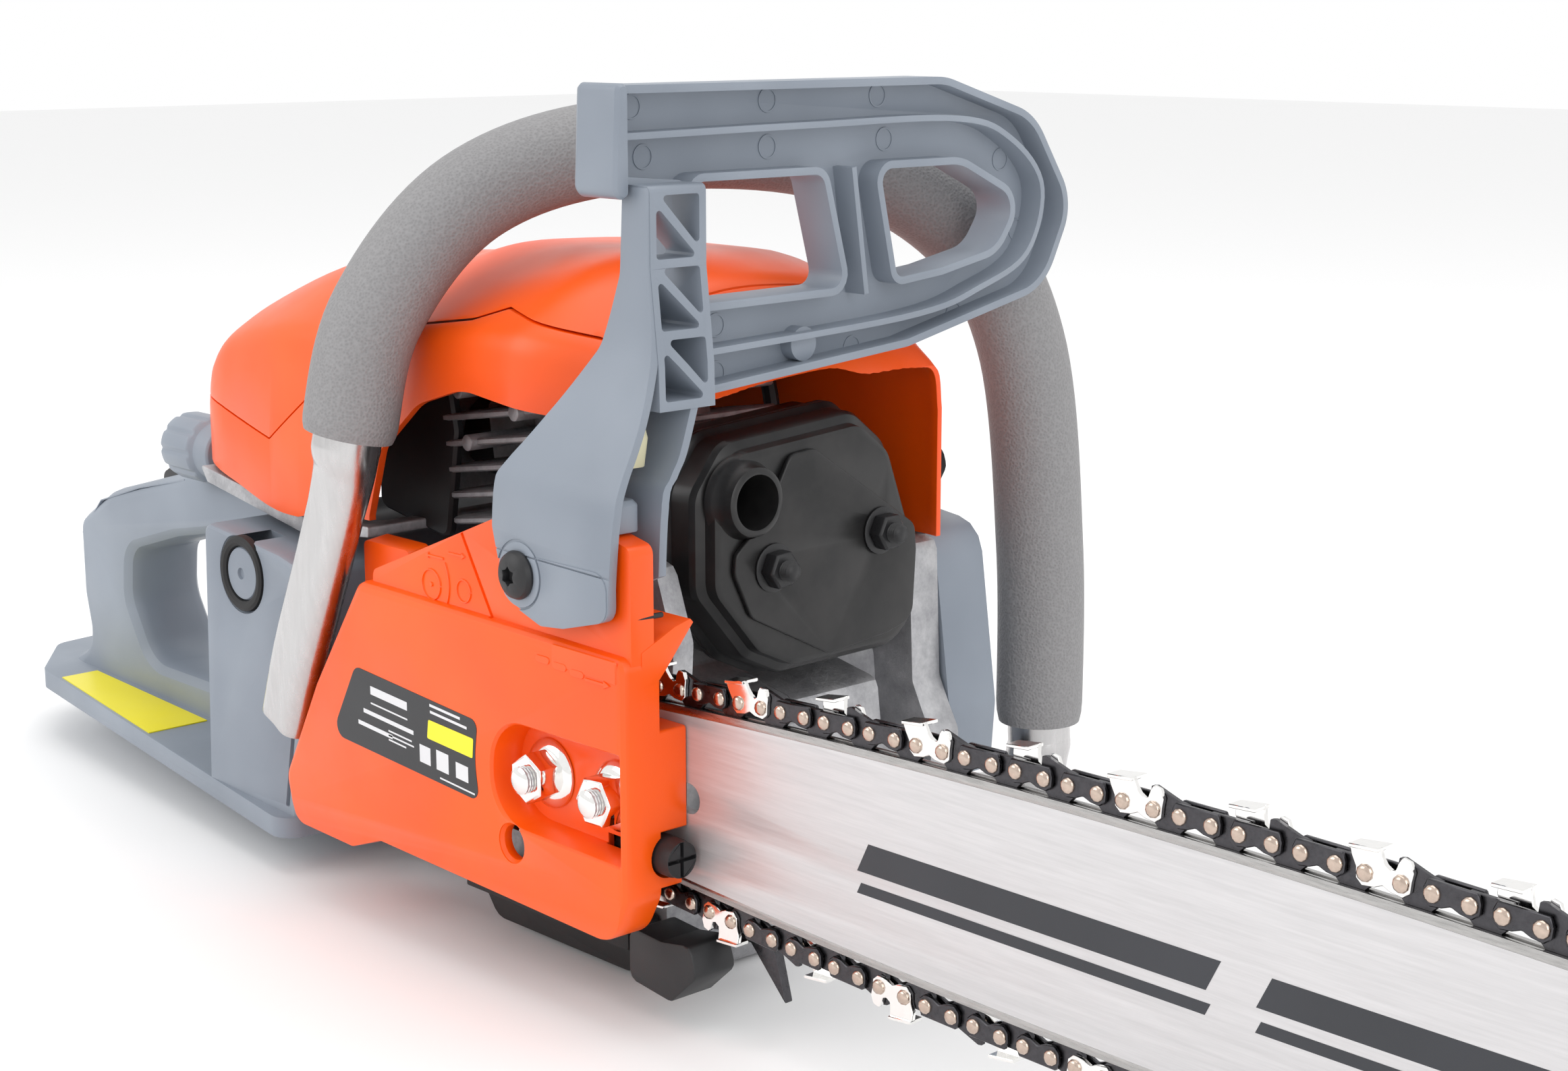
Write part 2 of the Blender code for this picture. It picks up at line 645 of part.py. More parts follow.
def make_intake():
    boot = cut(cylinder(on_cylinder(-68, 0, 84), FORE, 14, 17.5, 20),
               cylinder(on_cylinder(-80, 0, 84), FORE, 9, 40, 14))
    node("intake_boot", boot, "rubber")
    carb = rings_solid([[on_cylinder(f, a, 84 + b) for a, b in box_outline(-19, 19, -18, 18, 4, 2)]
                        for f in (-98, -68.4)])
    carb = cut(carb, cylinder(on_cylinder(-120, 0, 84), FORE, 9, 80, 14))
    node("carburettor", carb, "alloy")
    deck = prism(rounded([(-176, 121), (-118, 112), (-78, 116), (-78, 119.5), (-116, 117.5),
                          (-180, 126.5)], 0.5, 1), "XZ", -36, 88)
    deck = cut(deck, prism(box_outline(-172, -86, -27, 78, 4, 2), "XY", 90, 150))
    node("intake_deck", deck, "alloy")
    housing = leaning_box((-140, -98.5), (-36, 40), (74, 112), 6)
    housing = cut(housing, cylinder(on_cylinder(-120, 0, 84), FORE, 9, 60, 14),
                  leaning_box((-138, -101), (-33, 37), (76, 125), 5))
    node("air_filter_box", housing, "black")
    element = cut(leaning_box((-136, -103), (-32, 36), (95, 116), 6),
                  leaning_box((-132, -107), (-28, 32), (90, 111), 5))
    node("air_filter", element, "felt")


# ---------------------------------------------------------------- clutch side

def make_clutch():
    sprocket_teeth = []
    for i in range(7):
        for da, r in ((-0.3, 10.5), (-0.16, 13.6), (0.16, 13.6), (0.3, 10.5)):
            a = 2 * math.pi * i / 7 + da
            sprocket_teeth.append((CRANK_X + r * math.cos(a), CRANK_Z + r * math.sin(a)))
    teeth = prism(sprocket_teeth, "XZ", -46, -36)
    cup = turned([(DRUM_R, -62), (DRUM_R, -45), (12, -45)], (CRANK_X, 0, CRANK_Z), (0, 1, 0), 32)
    drum = cut(join(cup, teeth),
               cylinder((CRANK_X, -70, CRANK_Z), (0, 1, 0), DRUM_R - 2, 23, 32),
               cylinder((CRANK_X, -70, CRANK_Z), (0, 1, 0), 8.4, 60, 16))
    node("clutch_drum", drum, "steel", (CRANK_X, BAR_Y, CRANK_Z))

    hub = cylinder((CRANK_X, -59.5, CRANK_Z), (0, 1, 0), 12, 11, 20)
    shoes = []
    for i in range(3):
        a0 = 120 * i + 10
        outline = arc(CRANK_X, CRANK_Z, DRUM_R - 3, a0, a0 + 98, 8)
        outline += arc(CRANK_X, CRANK_Z, 22, a0 + 98, a0, 6)
        shoes.append(prism(outline, "XZ", -59, -49))
        mid = math.radians(a0 + 49)
        arm = [(CRANK_X + r * math.cos(mid + s), CRANK_Z + r * math.sin(mid + s))
               for r, s in ((8, -0.5), (25, -0.16), (25, 0.16), (8, 0.5))]
        shoes.append(prism(arm, "XZ", -58, -50))
    hub = cut(join(hub, *shoes), cylinder((CRANK_X, -70, CRANK_Z), (0, 1, 0), 8.1, 30, 16))
    node("clutch_hub", hub, "dark", (CRANK_X, -54, CRANK_Z))

    worm = ring_solid([(8.4, -35), (11, -35), (11, -29), (16, -29), (16, -26), (8.4, -26)],
                      (CRANK_X, 0, CRANK_Z), (0, 1, 0), 20)
    node("oil_pump", worm, "steel")

    band = (arc(CRANK_X, CRANK_Z, DRUM_R + 1.9, 62, 390, 24)
            + arc(CRANK_X, CRANK_Z, DRUM_R + 1.0, 390, 62, 24))
    node("brake_band", prism(band, "XZ", -60, -48), "steel")


def cover_lower():
    return rounded([(-42, 112.6, 6), (-67.6, 76, 6), (-87, 42, 8), (-83, 27, 5), (-53, 25.5, 4),
                    (-36, 31, 4), (76, 29, 12), (83.5, 40, 8), (83.5, 104, 6), (52, 110.5, 3)], 4, 3)


def cover_upper():
    return rounded([(-38, 106.5, 3), (-38, 116, 3), (24, 141, 3), (33, 144, 3), (66, 144.6, 3),
                    (83.5, 141, 3), (83.5, 106.5, 3)], 3, 2)


def shrink(outline, amount):
    """Move a closed outline inwards by a constant amount."""
    n = len(outline)
    area = sum(outline[i][0] * outline[(i + 1) % n][1] - outline[(i + 1) % n][0] * outline[i][1]
               for i in range(n))
    sign = 1 if area > 0 else -1
    out = []
    for i in range(n):
        p = Vector(outline[i])
        a = (p - Vector(outline[i - 1])).normalized()
        b = (Vector(outline[(i + 1) % n]) - p).normalized()
        t = (a + b).normalized()
        inward = Vector((-t.y, t.x)) * sign
        scale = 1.0 / max(0.5, inward.dot(Vector((-a.y, a.x)) * sign))
        out.append(tuple(p + inward * amount * scale))
    return out


def nut_recess():
    """Deep recess round the two bar nuts."""
    return rounded([(24, 83.6, 13), (81.3, 84, 0.6), (81.3, 52.6, 0.6), (24, 53, 13)], 4, 3)


def make_clutch_cover():
    face, back = COVER_FACE_Y, -44.6
    lower = stack([shrink(cover_lower(), 2.2), cover_lower(), cover_lower()], "XZ",
                  [face, face + 2.5, back])
    upper = prism(cover_upper(), "XZ", -61.5, -53.5)
    inside = prism(shrink(cover_lower(), WALL), "XZ", face + WALL, back + 30)
    upper_in = prism(shrink(cover_upper(), WALL), "XZ", -61.5 + WALL, -40)
    front_step = prism(box_outline(64, 95, -52, -40), "XY", 20, 101.9)
    skirt = prism(rounded([(-67, 76, 3), (-87, 42, 5), (-83, 27, 4), (-53, 25.5, 3), (-49, 30, 3),
                           (-60, 76, 3)], 2, 2), "XZ", back - 3, -31)
    shell = cut(join(lower, upper, skirt), inside, upper_in)
    pad = prism(rounded([(26, 61), (66, 61), (70, 58), (83.4, 60.2), (83.4, 89), (26, 89)], 2, 2),
                "XZ", -57.5, -42.6)
    foot = prism(rounded([(66, 44), (83.4, 44), (83.4, 50.6), (66, 50.6)], 1, 2), "XZ", -57.4, -45.5)
    ledge = prism([(-53, 101), (-53, 103), (-49, 106.6), (-44.6, 111.8), (-39.6, 117.7), (-40.6, 118.8),
                   (-46, 114), (-58, 110), (-58, 101)], "YZ", 56, 83.4)
    well = prism(shrink(nut_recess(), -1.8), "XZ", -63.2, -53.2)
    shell = join(cut(shell, front_step), pad, foot, well, ledge)
    shell = cut(shell,
                prism(nut_recess(), "XZ", -80, -54),
                *[cylinder((x, -80, BAR_Z), (0, 1, 0), 4.3, 60, 12) for x in STUD_X],
                cylinder((40, BAR_Y - 9, 53), (1, 0, 0), 3.3, 60, 12),
                cylinder((68, BAR_Y - 9, 53), (1, 0, 0), 6.4, 30, 16),
                cylinder((33, -80, 47.8), (0, 1, 0), 3.2, 30, 10),
                prism(box_outline(54, 66, 45, 61, 1, 1), "XZ", -52, -40),
                cylinder((GUARD_PIVOT[0], -80, GUARD_PIVOT[1]), (0, 1, 0), 3.3, 60, 12))
    node("clutch_cover", shell, "orange")

    for place, x in zip(("rear", "front"), STUD_X):
        nut = turned([(9.3, -54.3), (9.3, -56.4), (7.4, -57), (7.4, -64)], (x, 0, BAR_Z),
                     (0, 1, 0), 6)
        nut = cut(nut, cylinder((x, -80, BAR_Z), (0, 1, 0), 4.1, 60, 12))
        node("bar_nut_" + place, nut, "chrome")

    screw = turned([(2.9, 50), (2.9, 84), (5.2, 84), (5.2, 89)], (0, BAR_Y - 9, 53), (1, 0, 0), 12)
    node("tension_screw", screw, "black", (84, BAR_Y - 9, 53))
    block = cut(prism(box_outline(55, 65, 47, 59, 1, 1), "XZ", -51.5, -43.5),
                cylinder((40, BAR_Y - 9, 53), (1, 0, 0), 3.1, 60, 12))
    block = join(block, cylinder((60, -45, 53), (0, 1, 0), 3.0, 7.0, 12))
    node("tension_block", block, "steel")


def make_small_guards():
    catcher = prism(rounded([(62, 10), (80, 8), (91, 18), (88, 27), (76, 25), (62, 26)], 3, 2),
                    "XZ", -46, -31)
    node("chain_catcher", catcher, "black")
    spike_pts = [(78.3, 34), (82, 26), (96, 26), (110, 12), (106, 26), (94, 36), (88, 46), (98, 54),
                 (88, 62), (88, 76), (96, 88), (107, 96), (92, 94), (84, 90), (78.3, 78)]
    flange = prism(box_outline(78.3, 81, 36, 76, 1, 1), "XZ", -30, 8)
    node("bumper_spike", join(prism(spike_pts, "XZ", -30, -27), flange), "dark")
    skid = prism(rounded([(-20, 3), (44, 3), (58, 16), (58, 24), (-20, 24)], 3, 2), "XZ", -43, -30.4)
    node("lower_skid", skid, "black")


# ---------------------------------------------------------------- top covers

# x, near bottom z, near shoulder z, top z, near y, far y, far shoulder z
HOOD = [
    (-182, 129, 150, 158, -28, 76, 148),
    (-177, 128, 156, 168, -33, 82, 152),
    (-159, 125, 166, 181, -37, 87, 162),
    (-120, 118, 176, 195, -39, 91, 175),
    (-80, 118, 184, 203, -38, 93, 182),
    (-45, 118, 189, 210, -38, 94.5, 186),
    (0, 118, 190, 210, -38, 94.5, 186),
    (28, 118, 186, 203, -28, 94.5, 184),
    (45, 118, 172, 184, -22, 94.5, 174),
    (51, 118, 168, 175, -19, 93, 171),
]


def hood_ring(x, low, near_z, top, near_y, far_y, far_z, inset=0.0, drop=0.0):
    """One cross-section of the hood, (y, z) moved to x."""
    ny, fy = near_y + inset, far_y - inset
    nz, fz, tz = near_z - inset * 0.6, far_z - inset * 0.6, top - inset
    mid = ny + 22
    pts = [(ny, low - drop), (ny, nz - 14), (ny + 1.5, nz - 4), (ny + 7, nz + 2),
           (mid, nz + (tz - nz) * 0.62),
           (mid + 18, tz - 1), (mid + 40, tz), (fy - 30, tz - 3), (fy - 10, fz + (tz - fz) * 0.45),
           (fy - 2, fz), (fy, fz - 12), (fy, low - drop)]
    return [(x, y, z) for y, z in pts]


def seam_region():
    """Side view of what belongs to the upper, removable piece of the hood."""
    return [(-215, 157), (-163, 149.5), (-130, 142.5), (-108, 157.5), (-100, 163.5), (-60, 186),
            (-45, 188), (-24, 191), (-12, 195), (24, 189), (31, 187), (33, 240), (-215, 240)]


def make_hood():
    outer = rings_solid([hood_ring(*row) for row in HOOD])
    inner_rows = [HOOD[0], *HOOD[1:-1], HOOD[-1]]
    inner = []
    for i, row in enumerate(inner_rows):
        x = row[0] + (WALL if i == 0 else 0) + (4 if i == len(inner_rows) - 1 else 0)
        inner.append(hood_ring(x, *row[1:], inset=WALL, drop=12))
    hollow = rings_solid(inner)
    window = prism(rounded([(-74, 100, 0), (-74, 124, 1), (-66, 147, 8), (-46, 163, 20), (-23, 170, 30),
                            (14, 166, 20), (70, 158, 0), (70, 100, 0)], 3, 3), "XZ", -60, 10)
    mouth = prism(rounded([(-40, 90, 0), (-40, 165, 4), (-17, 168, 3), (-8, 165, 4), (21, 171, 10),
                           (60, 171, 10), (82, 167, 8), (90, 112, 3), (90, 90, 0)], 3, 2), "YZ", 40, 80)
    choke_hole = cylinder((-196, 58, 137), (1, 0, 0), 2.8, 22, 10)
    guard_notch = prism([(28, 150), (60, 150), (60, 184), (47, 184), (34, 164)], "XZ", -45, -10.5)
    shell = cut(outer, hollow, window, mouth, choke_hole, guard_notch)
    lip = prism([(-140, 100), (-118, 117), (-97, 122.5), (-60, 122.5), (-60, 100)], "XZ", -60, 120)
    shell = cut(shell, lip)
    upper = common(shell.copy(), prism(seam_region(), "XZ", -80, 140))
    gap_region = [(x - (GAP if i == 11 else 0) + (GAP if i in (10, 11) else 0),
                   z - (GAP if i < 10 else 0)) for i, (x, z) in enumerate(seam_region())]
    gap_region[-2] = (33 + GAP, 240)
    gap_region[-3] = (31 + GAP, 187 - GAP)
    lower = cut(shell, prism(gap_region, "XZ", -90, 150))
    node("top_cover", lower, "orange")
    node("filter_cover", upper, "orange")


KNOB_CENTRE = (-185.5, -20.0, 127.6)


def make_cover_knob():
    centre = KNOB_CENTRE
    knob = turned([(5, 0), (5, 7), (11.5, 8), (12.3, 12), (12, 28), (10, 32)], centre, (-1, 0, 0), 18)
    flutes = []
    for i in range(6):
        a = 2 * math.pi * i / 6
        flutes.append(cylinder((-182, centre[1] + 16 * math.cos(a), centre[2] + 16 * math.sin(a)),
                               (-1, 0, 0), 5.5, 50, 10))
    node("filter_cover_knob", cut(knob, *flutes), "grey", centre)


def make_starter():
    outline = rounded([(-72, 14, 14), (50, 8, 10), (54, 60, 12), (46, 118, 12), (-20, 126, 16),
                       (-66, 108, 16)], 8, 3)
    y0 = CASE_RIM_Y + GAP
    shell = stack([outline, outline, shrink(outline, 7)], "XZ", [y0, 117, 123])
    shell = cut(shell, stack([shrink(outline, 3), shrink(outline, 3), shrink(outline, 9)], "XZ",
                             [y0 - 1, 114.5, 120.5]))
    slots = []
    for i in range(8):
        a = math.radians(200 + i * 20)
        d = Vector((math.cos(a), 0, math.sin(a)))
        s = Vector((-d.z, 0, d.x))
        c = Vector((CRANK_X, 0, CRANK_Z))
        ring = [(22, -3), (40, -3), (40, 3), (22, 3)]
        slots.append(rings_solid([[c + d * r + s * t + Vector((0, y, 0)) for r, t in ring]
                                  for y in (112, 130)]))
    post = cylinder((CRANK_X, 98, CRANK_Z), (0, 1, 0), 5, 24, 12)
    exit_hole = cylinder((14, 106, 90), (0, 0, 1), 3.0, 60, 10)
    shell = cut(join(shell, post), exit_hole, *slots,
                cylinder((46, 90, 24), (0, 1, 0), 14.5, 60, 20))
    node("starter_housing", shell, "grey")

    pulley = ring_solid([(5.3, 100), (30, 100), (30, 102), (26, 103), (26, 107), (30, 108),
                         (30, 110), (5.3, 110)], (CRANK_X, 0, CRANK_Z), (0, 1, 0), 28)
    node("starter_pulley", pulley, "black", (CRANK_X, 105, CRANK_Z))
    spring = ring_solid([(12, 110.6), (24, 110.6), (24, 113.6), (12, 113.6)],
                        (CRANK_X, 0, CRANK_Z), (0, 1, 0), 24)
    node("recoil_spring", spring, "steel")
    rope = cylinder((14, 106, 70), (0, 0, 1), 1.7, 56, 8)
    node("starter_rope", rope, "white")
    grip = prism(rounded([(-3, 127, 1), (31, 127, 1), (36, 136, 4), (34, 142, 3), (-6, 142, 3),
                          (-8, 136, 4)], 2, 2), "XZ", 100, 112)
    node("starter_grip", grip, "black", (14, 106, 127))


# ---------------------------------------------------------------- handles and tank

PLATE_EDGE = [(-104, -56, 8), (-312, -33, 12), (-344, -10, 10), (-348, 20, 12), (-322, 40, 12),
              (-190, 58, 10), (-104, 62, 5)]
GRIP_HALF = 16.0


def make_tank_unit():
    plate = common(prism(rounded(PLATE_EDGE, 8, 3), "XY", 8, 40),
                   prism(rounded([(-100, 12), (-360, 22), (-360, 28), (-300, 27), (-100, 19)], 0.5, 1),
                         "XZ", -70, 100))
    loop = rounded([(-150, 13, 6), (-150, 116, 6), (-228, 115, 20), (-286, 100, 25), (-311, 86, 9),
                    (-311, 56, 20), (-306, 36, 10), (-325, 27, 6), (-325, 13, 6)], 6, 3)
    hole = rounded([(-166, 38, 10), (-258, 38, 16), (-272, 60, 12), (-270, 78, 9), (-236, 88, 8),
                    (-190, 97, 8), (-166, 97, 6)], 8, 3)
    handle = stack([shrink(loop, 3.5), loop, loop, shrink(loop, 3.5)], "XZ",
                   [-GRIP_HALF, -GRIP_HALF + 5, GRIP_HALF - 5, GRIP_HALF])
    handle = cut(handle, prism(hole, "XZ", -40, 40))
    tank = prism(rounded([(-160, 16, 2), (-106, 14, 4), (-99, 45, 12), (-94, 104, 3), (-110, 107.5, 6),
                          (-156, 112, 4), (-158, 60, 20)], 3, 3), "XZ", -50, 88)
    body = join(plate, handle, tank)
    inside = prism(rounded([(-154, 22), (-112, 20), (-105, 45), (-101, 88), (-152, 92)], 4, 2),
                   "XZ", -30, 84)
    plug_bore = cylinder((-133, -60, 88), (0, 1, 0), 13.3, 24, 24)
    trigger_slot = prism([(-222, 80), (-172, 80), (-172, 108), (-222, 105)], "XZ", -5.5, 5.5)
    lock_slot = prism([(-264, 94.5), (-222, 104), (-222, 140), (-264, 140)], "XZ", -5.5, 5.5)
    filler = cylinder((-130, 70, 58), (0, 1, 0), 12, 40, 20)
    body = cut(body, inside, plug_bore, trigger_slot, lock_slot, filler)
    node("tank_unit", body, "grey")

    ring = ring_solid([(9.2, -50.8), (13, -50.8), (13, -38), (9.2, -38)], (-133, 0, 88), (0, 1, 0), 24)
    node("mount_plug_ring", ring, "rubber")
    node("mount_plug_cap", cylinder((-133, -50.4, 88), (0, 1, 0), 8.9, 10, 20), "grey")

    mount = turned([(9, 0), (7.5, 3.5), (9, 7)], (-97.5, 40, 24), (1, 0, 0), 16)
    node("av_mount_base", mount, "rubber")

    hose = curve_points([(-124, 60, 88), (-122, 50, 60), (-128, 30, 34), (-134, 10, 27)], 14)
    fuel_filter = cylinder((-134, 12, 29), (0, -1, 0), 6, 16, 12)
    node("fuel_hose", join(tube(hose, 3.0, 8), fuel_filter), "black")


def make_caps():
    for name, centre in (("fuel_cap", (-130, 88, 58)), ("oil_cap", (46, CASE_RIM_Y, 24))):
        x, y, z = centre
        r = 11.6 if name == "fuel_cap" else 8.7
        cap = turned([(r, -6), (r, GAP), (r + 4, GAP), (r + 4, 8), (r + 2.5, 10)],
                     centre, (0, 1, 0), 18)
        bar = cylinder((x, y + 9, z), (0, 1, 0), 2, 1, 8)
        bar.free()
        grip = prism(box_outline(x - 2.2, x + 2.2, z - r, z + r), "XZ", y + 9, y + 14)
        node(name, join(cap, grip), "black", centre)


def make_controls():
    trigger = prism(rounded([(-178, 104, 3), (-196, 100, 3), (-206, 74, 3), (-200, 66, 3),
                             (-196, 76, 6), (-186, 92, 4), (-178, 94, 3)], 3, 2), "XZ", -4.5, 4.5)
    trigger = join(trigger, cylinder((-182, -5.2, 100), (0, 1, 0), 3.4, 10.4, 12))
    node("throttle_trigger", trigger, "black", (-182, 0, 100))
    lock = prism(rounded([(-228, 106, 2), (-228, 116, 3), (-238, 121, 5), (-262, 109, 3),
                          (-262, 101, 3)], 2, 2), "XZ", -4.6, 4.6)
    node("throttle_lock", lock, "black", (-230, 0, 110))
    rod = cylinder((-184, 58, 137), (1, 0, 0), 2.2, 14, 10)
    knob = turned([(4, 0), (9, 2), (9, 9), (6, 11)], (-183.5, 58, 137), (-1, 0, 0), 16)
    node("choke_knob", join(knob, rod), "black", (-183.5, 58, 137))
    switch = prism(rounded([(-199, 118.3, 1), (-192, 116.2, 2), (-185, 118.3, 1), (-185, 124, 2),
                            (-192, 121.5, 4), (-199, 123, 2)], 1, 2), "XZ", 4, 12)
    node("stop_switch", switch, "black", (-192, 8, 117))


HANDLE_RIGHT = [(-91, -60, 58), (-80, -61.5, 82), (-66, -61.5, 112), (-54, -60.5, 142)]
SLEEVE_PATH = [(-50.7, -60, 156), (-49.4, -57, 173), (-46.9, -51, 192), (-41.6, -40, 210),
               (-34.4, -24.5, 226), (-26, -6.8, 235.4), (-14, 17, 240.4), (-2, 45, 241),
               (12, 76, 237.5), (24.5, 101, 227.7), (32.5, 118, 214), (38.0, 130, 198),
               (42.5, 139.5, 174), (44.6, 144.5, 145), (45.8, 147, 105), (46.3, 147.8, 46)]
HANDLE_LEFT = [(46.4, 147.6, 36), (42, 144.5, 20), (22, 138, 13), (-20, 136, 12), (-70, 134, 13),
               (-100, 128, 18), (-115, 112, 25), (-119, 98, 29.5), (-119, 89, 30)]


def make_front_handle():
    knots = HANDLE_RIGHT + SLEEVE_PATH[1::2] + HANDLE_LEFT
    path = curve_points(knots, HANDLE_STATIONS)
    node("front_handle", tube(path, HAND_TUBE_R, 10), "polished")
    first = min(range(HANDLE_STATIONS), key=lambda i: (path[i] - Vector(SLEEVE_PATH[0])).length)
    last = min(range(HANDLE_STATIONS), key=lambda i: (path[i] - Vector(SLEEVE_PATH[-1])).length)
    cover = frames(path)[first:last + 1]
    node("grip_sleeve", pipe(cover, SLEEVE_R, HAND_TUBE_R + 0.4), "grip")


# ---------------------------------------------------------------- hand guard

HOOP = [(-51, 262, 3), (75, 262, 26), (115, 250, 22), (134, 222, 16), (121, 196, 20), (60, 183, 20),
        (-28, 176, 6), (-28, 234, 3), (-51, 236, 4)]
SQUARE_WINDOW = [(-25, 235.5), (24.4, 235.5), (33.4, 202.7), (-25, 202)]
ROUND_WINDOW = [(47.5, 236, 4), (82, 236, 18), (108, 224, 12), (98, 210, 12), (74, 205.5, 10),
                (55, 203.7, 3)]
GUARD_SIDE = [(34, 121, 8), (28, 140, 4), (28, 155, 4), (41, 172, 10), (58, 192, 10), (65, 212, 8),
              (66, 236, 2), (77, 236, 2), (77, 214, 8), (80, 188, 10), (81, 150, 6), (79, 121, 4),
              (50, 115, 10)]
# height, rear x, near face y
CHEEK = [(118, 33, -66), (134, 28.5, -66), (150, 28.5, -65), (158, 31, -62.5), (166, 37, -58.5),
         (174, 44, -55), (184, 53, -52), (196, 60, -49.6), (212, 65, -48.8), (235.5, 66, -48.4)]
# height, near face y of the inner wall
INNER = [(116, -48), (150, -48), (158, -44.5), (164, -41), (178, -36)]


def make_hand_guard():
    """Chain brake lever: a framed hoop over two side walls that pivot on the clutch cover."""
    frame = prism(rounded(HOOP, 6, 3), "YZ", 54, 68)
    frame = cut(frame, prism(rounded(SQUARE_WINDOW, 4, 2), "YZ", 30, 90),
                prism(rounded(ROUND_WINDOW, 6, 3), "YZ", 30, 90))
    side = rounded(GUARD_SIDE, 5, 3)
    post = common(prism(side, "XZ", -48, -28.2),
                  prism([(0, 176), (120, 176), (120, 250), (0, 250)], "XZ", -60, 0))
    post = cut(post, prism([(-45.6, 179), (-31, 179), (-31, 229), (-45.6, 229)], "YZ", 66, 90))
    cheek = stack([[(x, near), (79.5, near), (79.5, near + 3), (x, near + 3)] for _, x, near in CHEEK],
                  "XY", [row[0] for row in CHEEK])
    lobe = prism(rounded([(31, 134), (78.6, 134), (78.6, 121), (60, 116), (50, 115), (34, 120)], 5, 3),
                 "XZ", -66.2, -62.6)
    inner = stack([[(30, near), (90, near), (90, near + 3), (30, near + 3)] for _, near in INNER],
                  "XY", [row[0] for row in INNER])
    inner = common(inner, prism(shrink(side, 0.4), "XZ", -60, -20))
    swept = [(46, 110), (50, 117), (57, 121.5), (82, 132), (95, 132), (95, 110)]
    inner = cut(inner, prism(swept, "XZ", -60, -20))
    cheek = common(cheek, prism(shrink(side, 0.2), "XZ", -70, -40))
    guard = join(post, cheek, lobe, frame, inner)
    guard = cut(guard, cylinder((GUARD_PIVOT[0], -80, GUARD_PIVOT[1]), (0, 1, 0), 3.6, 45, 12))
    node("hand_guard", guard, "grey", (GUARD_PIVOT[0], -64, GUARD_PIVOT[1]))
    screw = turned([(3.1, -44), (3.1, -66.4), (6.5, -66.4), (6.5, -68), (4.5, -70)],
                   (GUARD_PIVOT[0], 0, GUARD_PIVOT[1]), (0, 1, 0), 12)
    node("guard_pivot_screw", screw, "black")


def main():
    clear_scene()
    make_bar()
    make_chain()
    make_crankcase()
    make_cylinder()
    make_piston()
    make_crankshaft()
    make_flywheel()
    make_muffler()
    make_intake()
    make_clutch()
    make_clutch_cover()
    make_small_guards()
    make_hood()
    make_cover_knob()
    make_starter()
    make_tank_unit()
    make_caps()
    make_controls()
    make_front_handle()
    make_hand_guard()


main()
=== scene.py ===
"""Looks of the petrol chainsaw: finished pieces, materials, lights and camera.

Pieces are modelled in millimetres in the part's own frame (+X to the bar tip, +Y to the starter
side, +Z up, origin on the crankcase foot) and written to meshes in metres.
"""
import json
import math

import bmesh
import bpy
from mathutils import Matrix, Vector


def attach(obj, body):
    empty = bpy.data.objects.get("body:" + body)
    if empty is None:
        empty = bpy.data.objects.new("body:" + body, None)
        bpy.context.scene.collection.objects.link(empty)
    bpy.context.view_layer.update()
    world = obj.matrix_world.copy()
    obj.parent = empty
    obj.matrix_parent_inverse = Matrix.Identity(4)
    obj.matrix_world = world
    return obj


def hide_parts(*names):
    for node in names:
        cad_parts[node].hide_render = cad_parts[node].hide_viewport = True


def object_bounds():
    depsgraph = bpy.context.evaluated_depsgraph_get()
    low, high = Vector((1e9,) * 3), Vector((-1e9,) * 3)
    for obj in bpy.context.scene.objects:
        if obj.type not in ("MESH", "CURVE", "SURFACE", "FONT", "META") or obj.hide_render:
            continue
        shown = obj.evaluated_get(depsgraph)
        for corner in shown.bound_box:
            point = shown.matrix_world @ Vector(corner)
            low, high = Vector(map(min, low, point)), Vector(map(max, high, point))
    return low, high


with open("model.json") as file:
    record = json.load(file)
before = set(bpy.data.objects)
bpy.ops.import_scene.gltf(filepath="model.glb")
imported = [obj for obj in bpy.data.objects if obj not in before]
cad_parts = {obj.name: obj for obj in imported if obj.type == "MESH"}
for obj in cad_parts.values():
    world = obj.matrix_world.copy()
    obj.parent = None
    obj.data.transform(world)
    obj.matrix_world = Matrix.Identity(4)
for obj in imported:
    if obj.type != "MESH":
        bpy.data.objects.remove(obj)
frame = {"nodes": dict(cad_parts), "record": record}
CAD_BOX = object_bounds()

MM = 0.001


# ================================================================ shapes

def arc(cx, cy, r, a0, a1, steps):
    """Points on an arc, angles in degrees."""
    out = []
    for i in range(steps + 1):
        a = math.radians(a0 + (a1 - a0) * i / steps)
        out.append((cx + r * math.cos(a), cy + r * math.sin(a)))
    return out


def circle(cx, cy, r, steps):
    return arc(cx, cy, r, 0, 360 * (steps - 1) / steps, steps - 1)


def rounded(points, radius, steps=6):
    """Closed outline with its corners turned into arcs; a point may carry its own radius."""
    n = len(points)
    out = []
    for i in range(n):
        p = Vector(points[i][:2])
        a = Vector(points[i - 1][:2]) - p
        b = Vector(points[(i + 1) % n][:2]) - p
        r = points[i][2] if len(points[i]) > 2 else radius
        la, lb = a.length, b.length
        a.normalize()
        b.normalize()
        half = math.acos(max(-1.0, min(1.0, a.dot(b)))) / 2
        if r <= 0 or half > math.pi / 2 - 0.02:
            out.append((p.x, p.y))
            continue
        reach = min(r / math.tan(half), la * 0.48, lb * 0.48)
        r = reach * math.tan(half)
        centre = p + (a + b).normalized() * (r / math.sin(half))
        start = p + a * reach - centre
        end = p + b * reach - centre
        a0 = math.atan2(start.y, start.x)
        turn = (math.atan2(end.y, end.x) - a0 + math.pi) % (2 * math.pi) - math.pi
        for k in range(steps + 1):
            ang = a0 + turn * k / steps
            out.append((centre.x + r * math.cos(ang), centre.y + r * math.sin(ang)))
    return out


def box_outline(x0, x1, y0, y1, r=0.0, steps=4):
    return rounded([(x0, y0), (x1, y0), (x1, y1), (x0, y1)], r, steps)


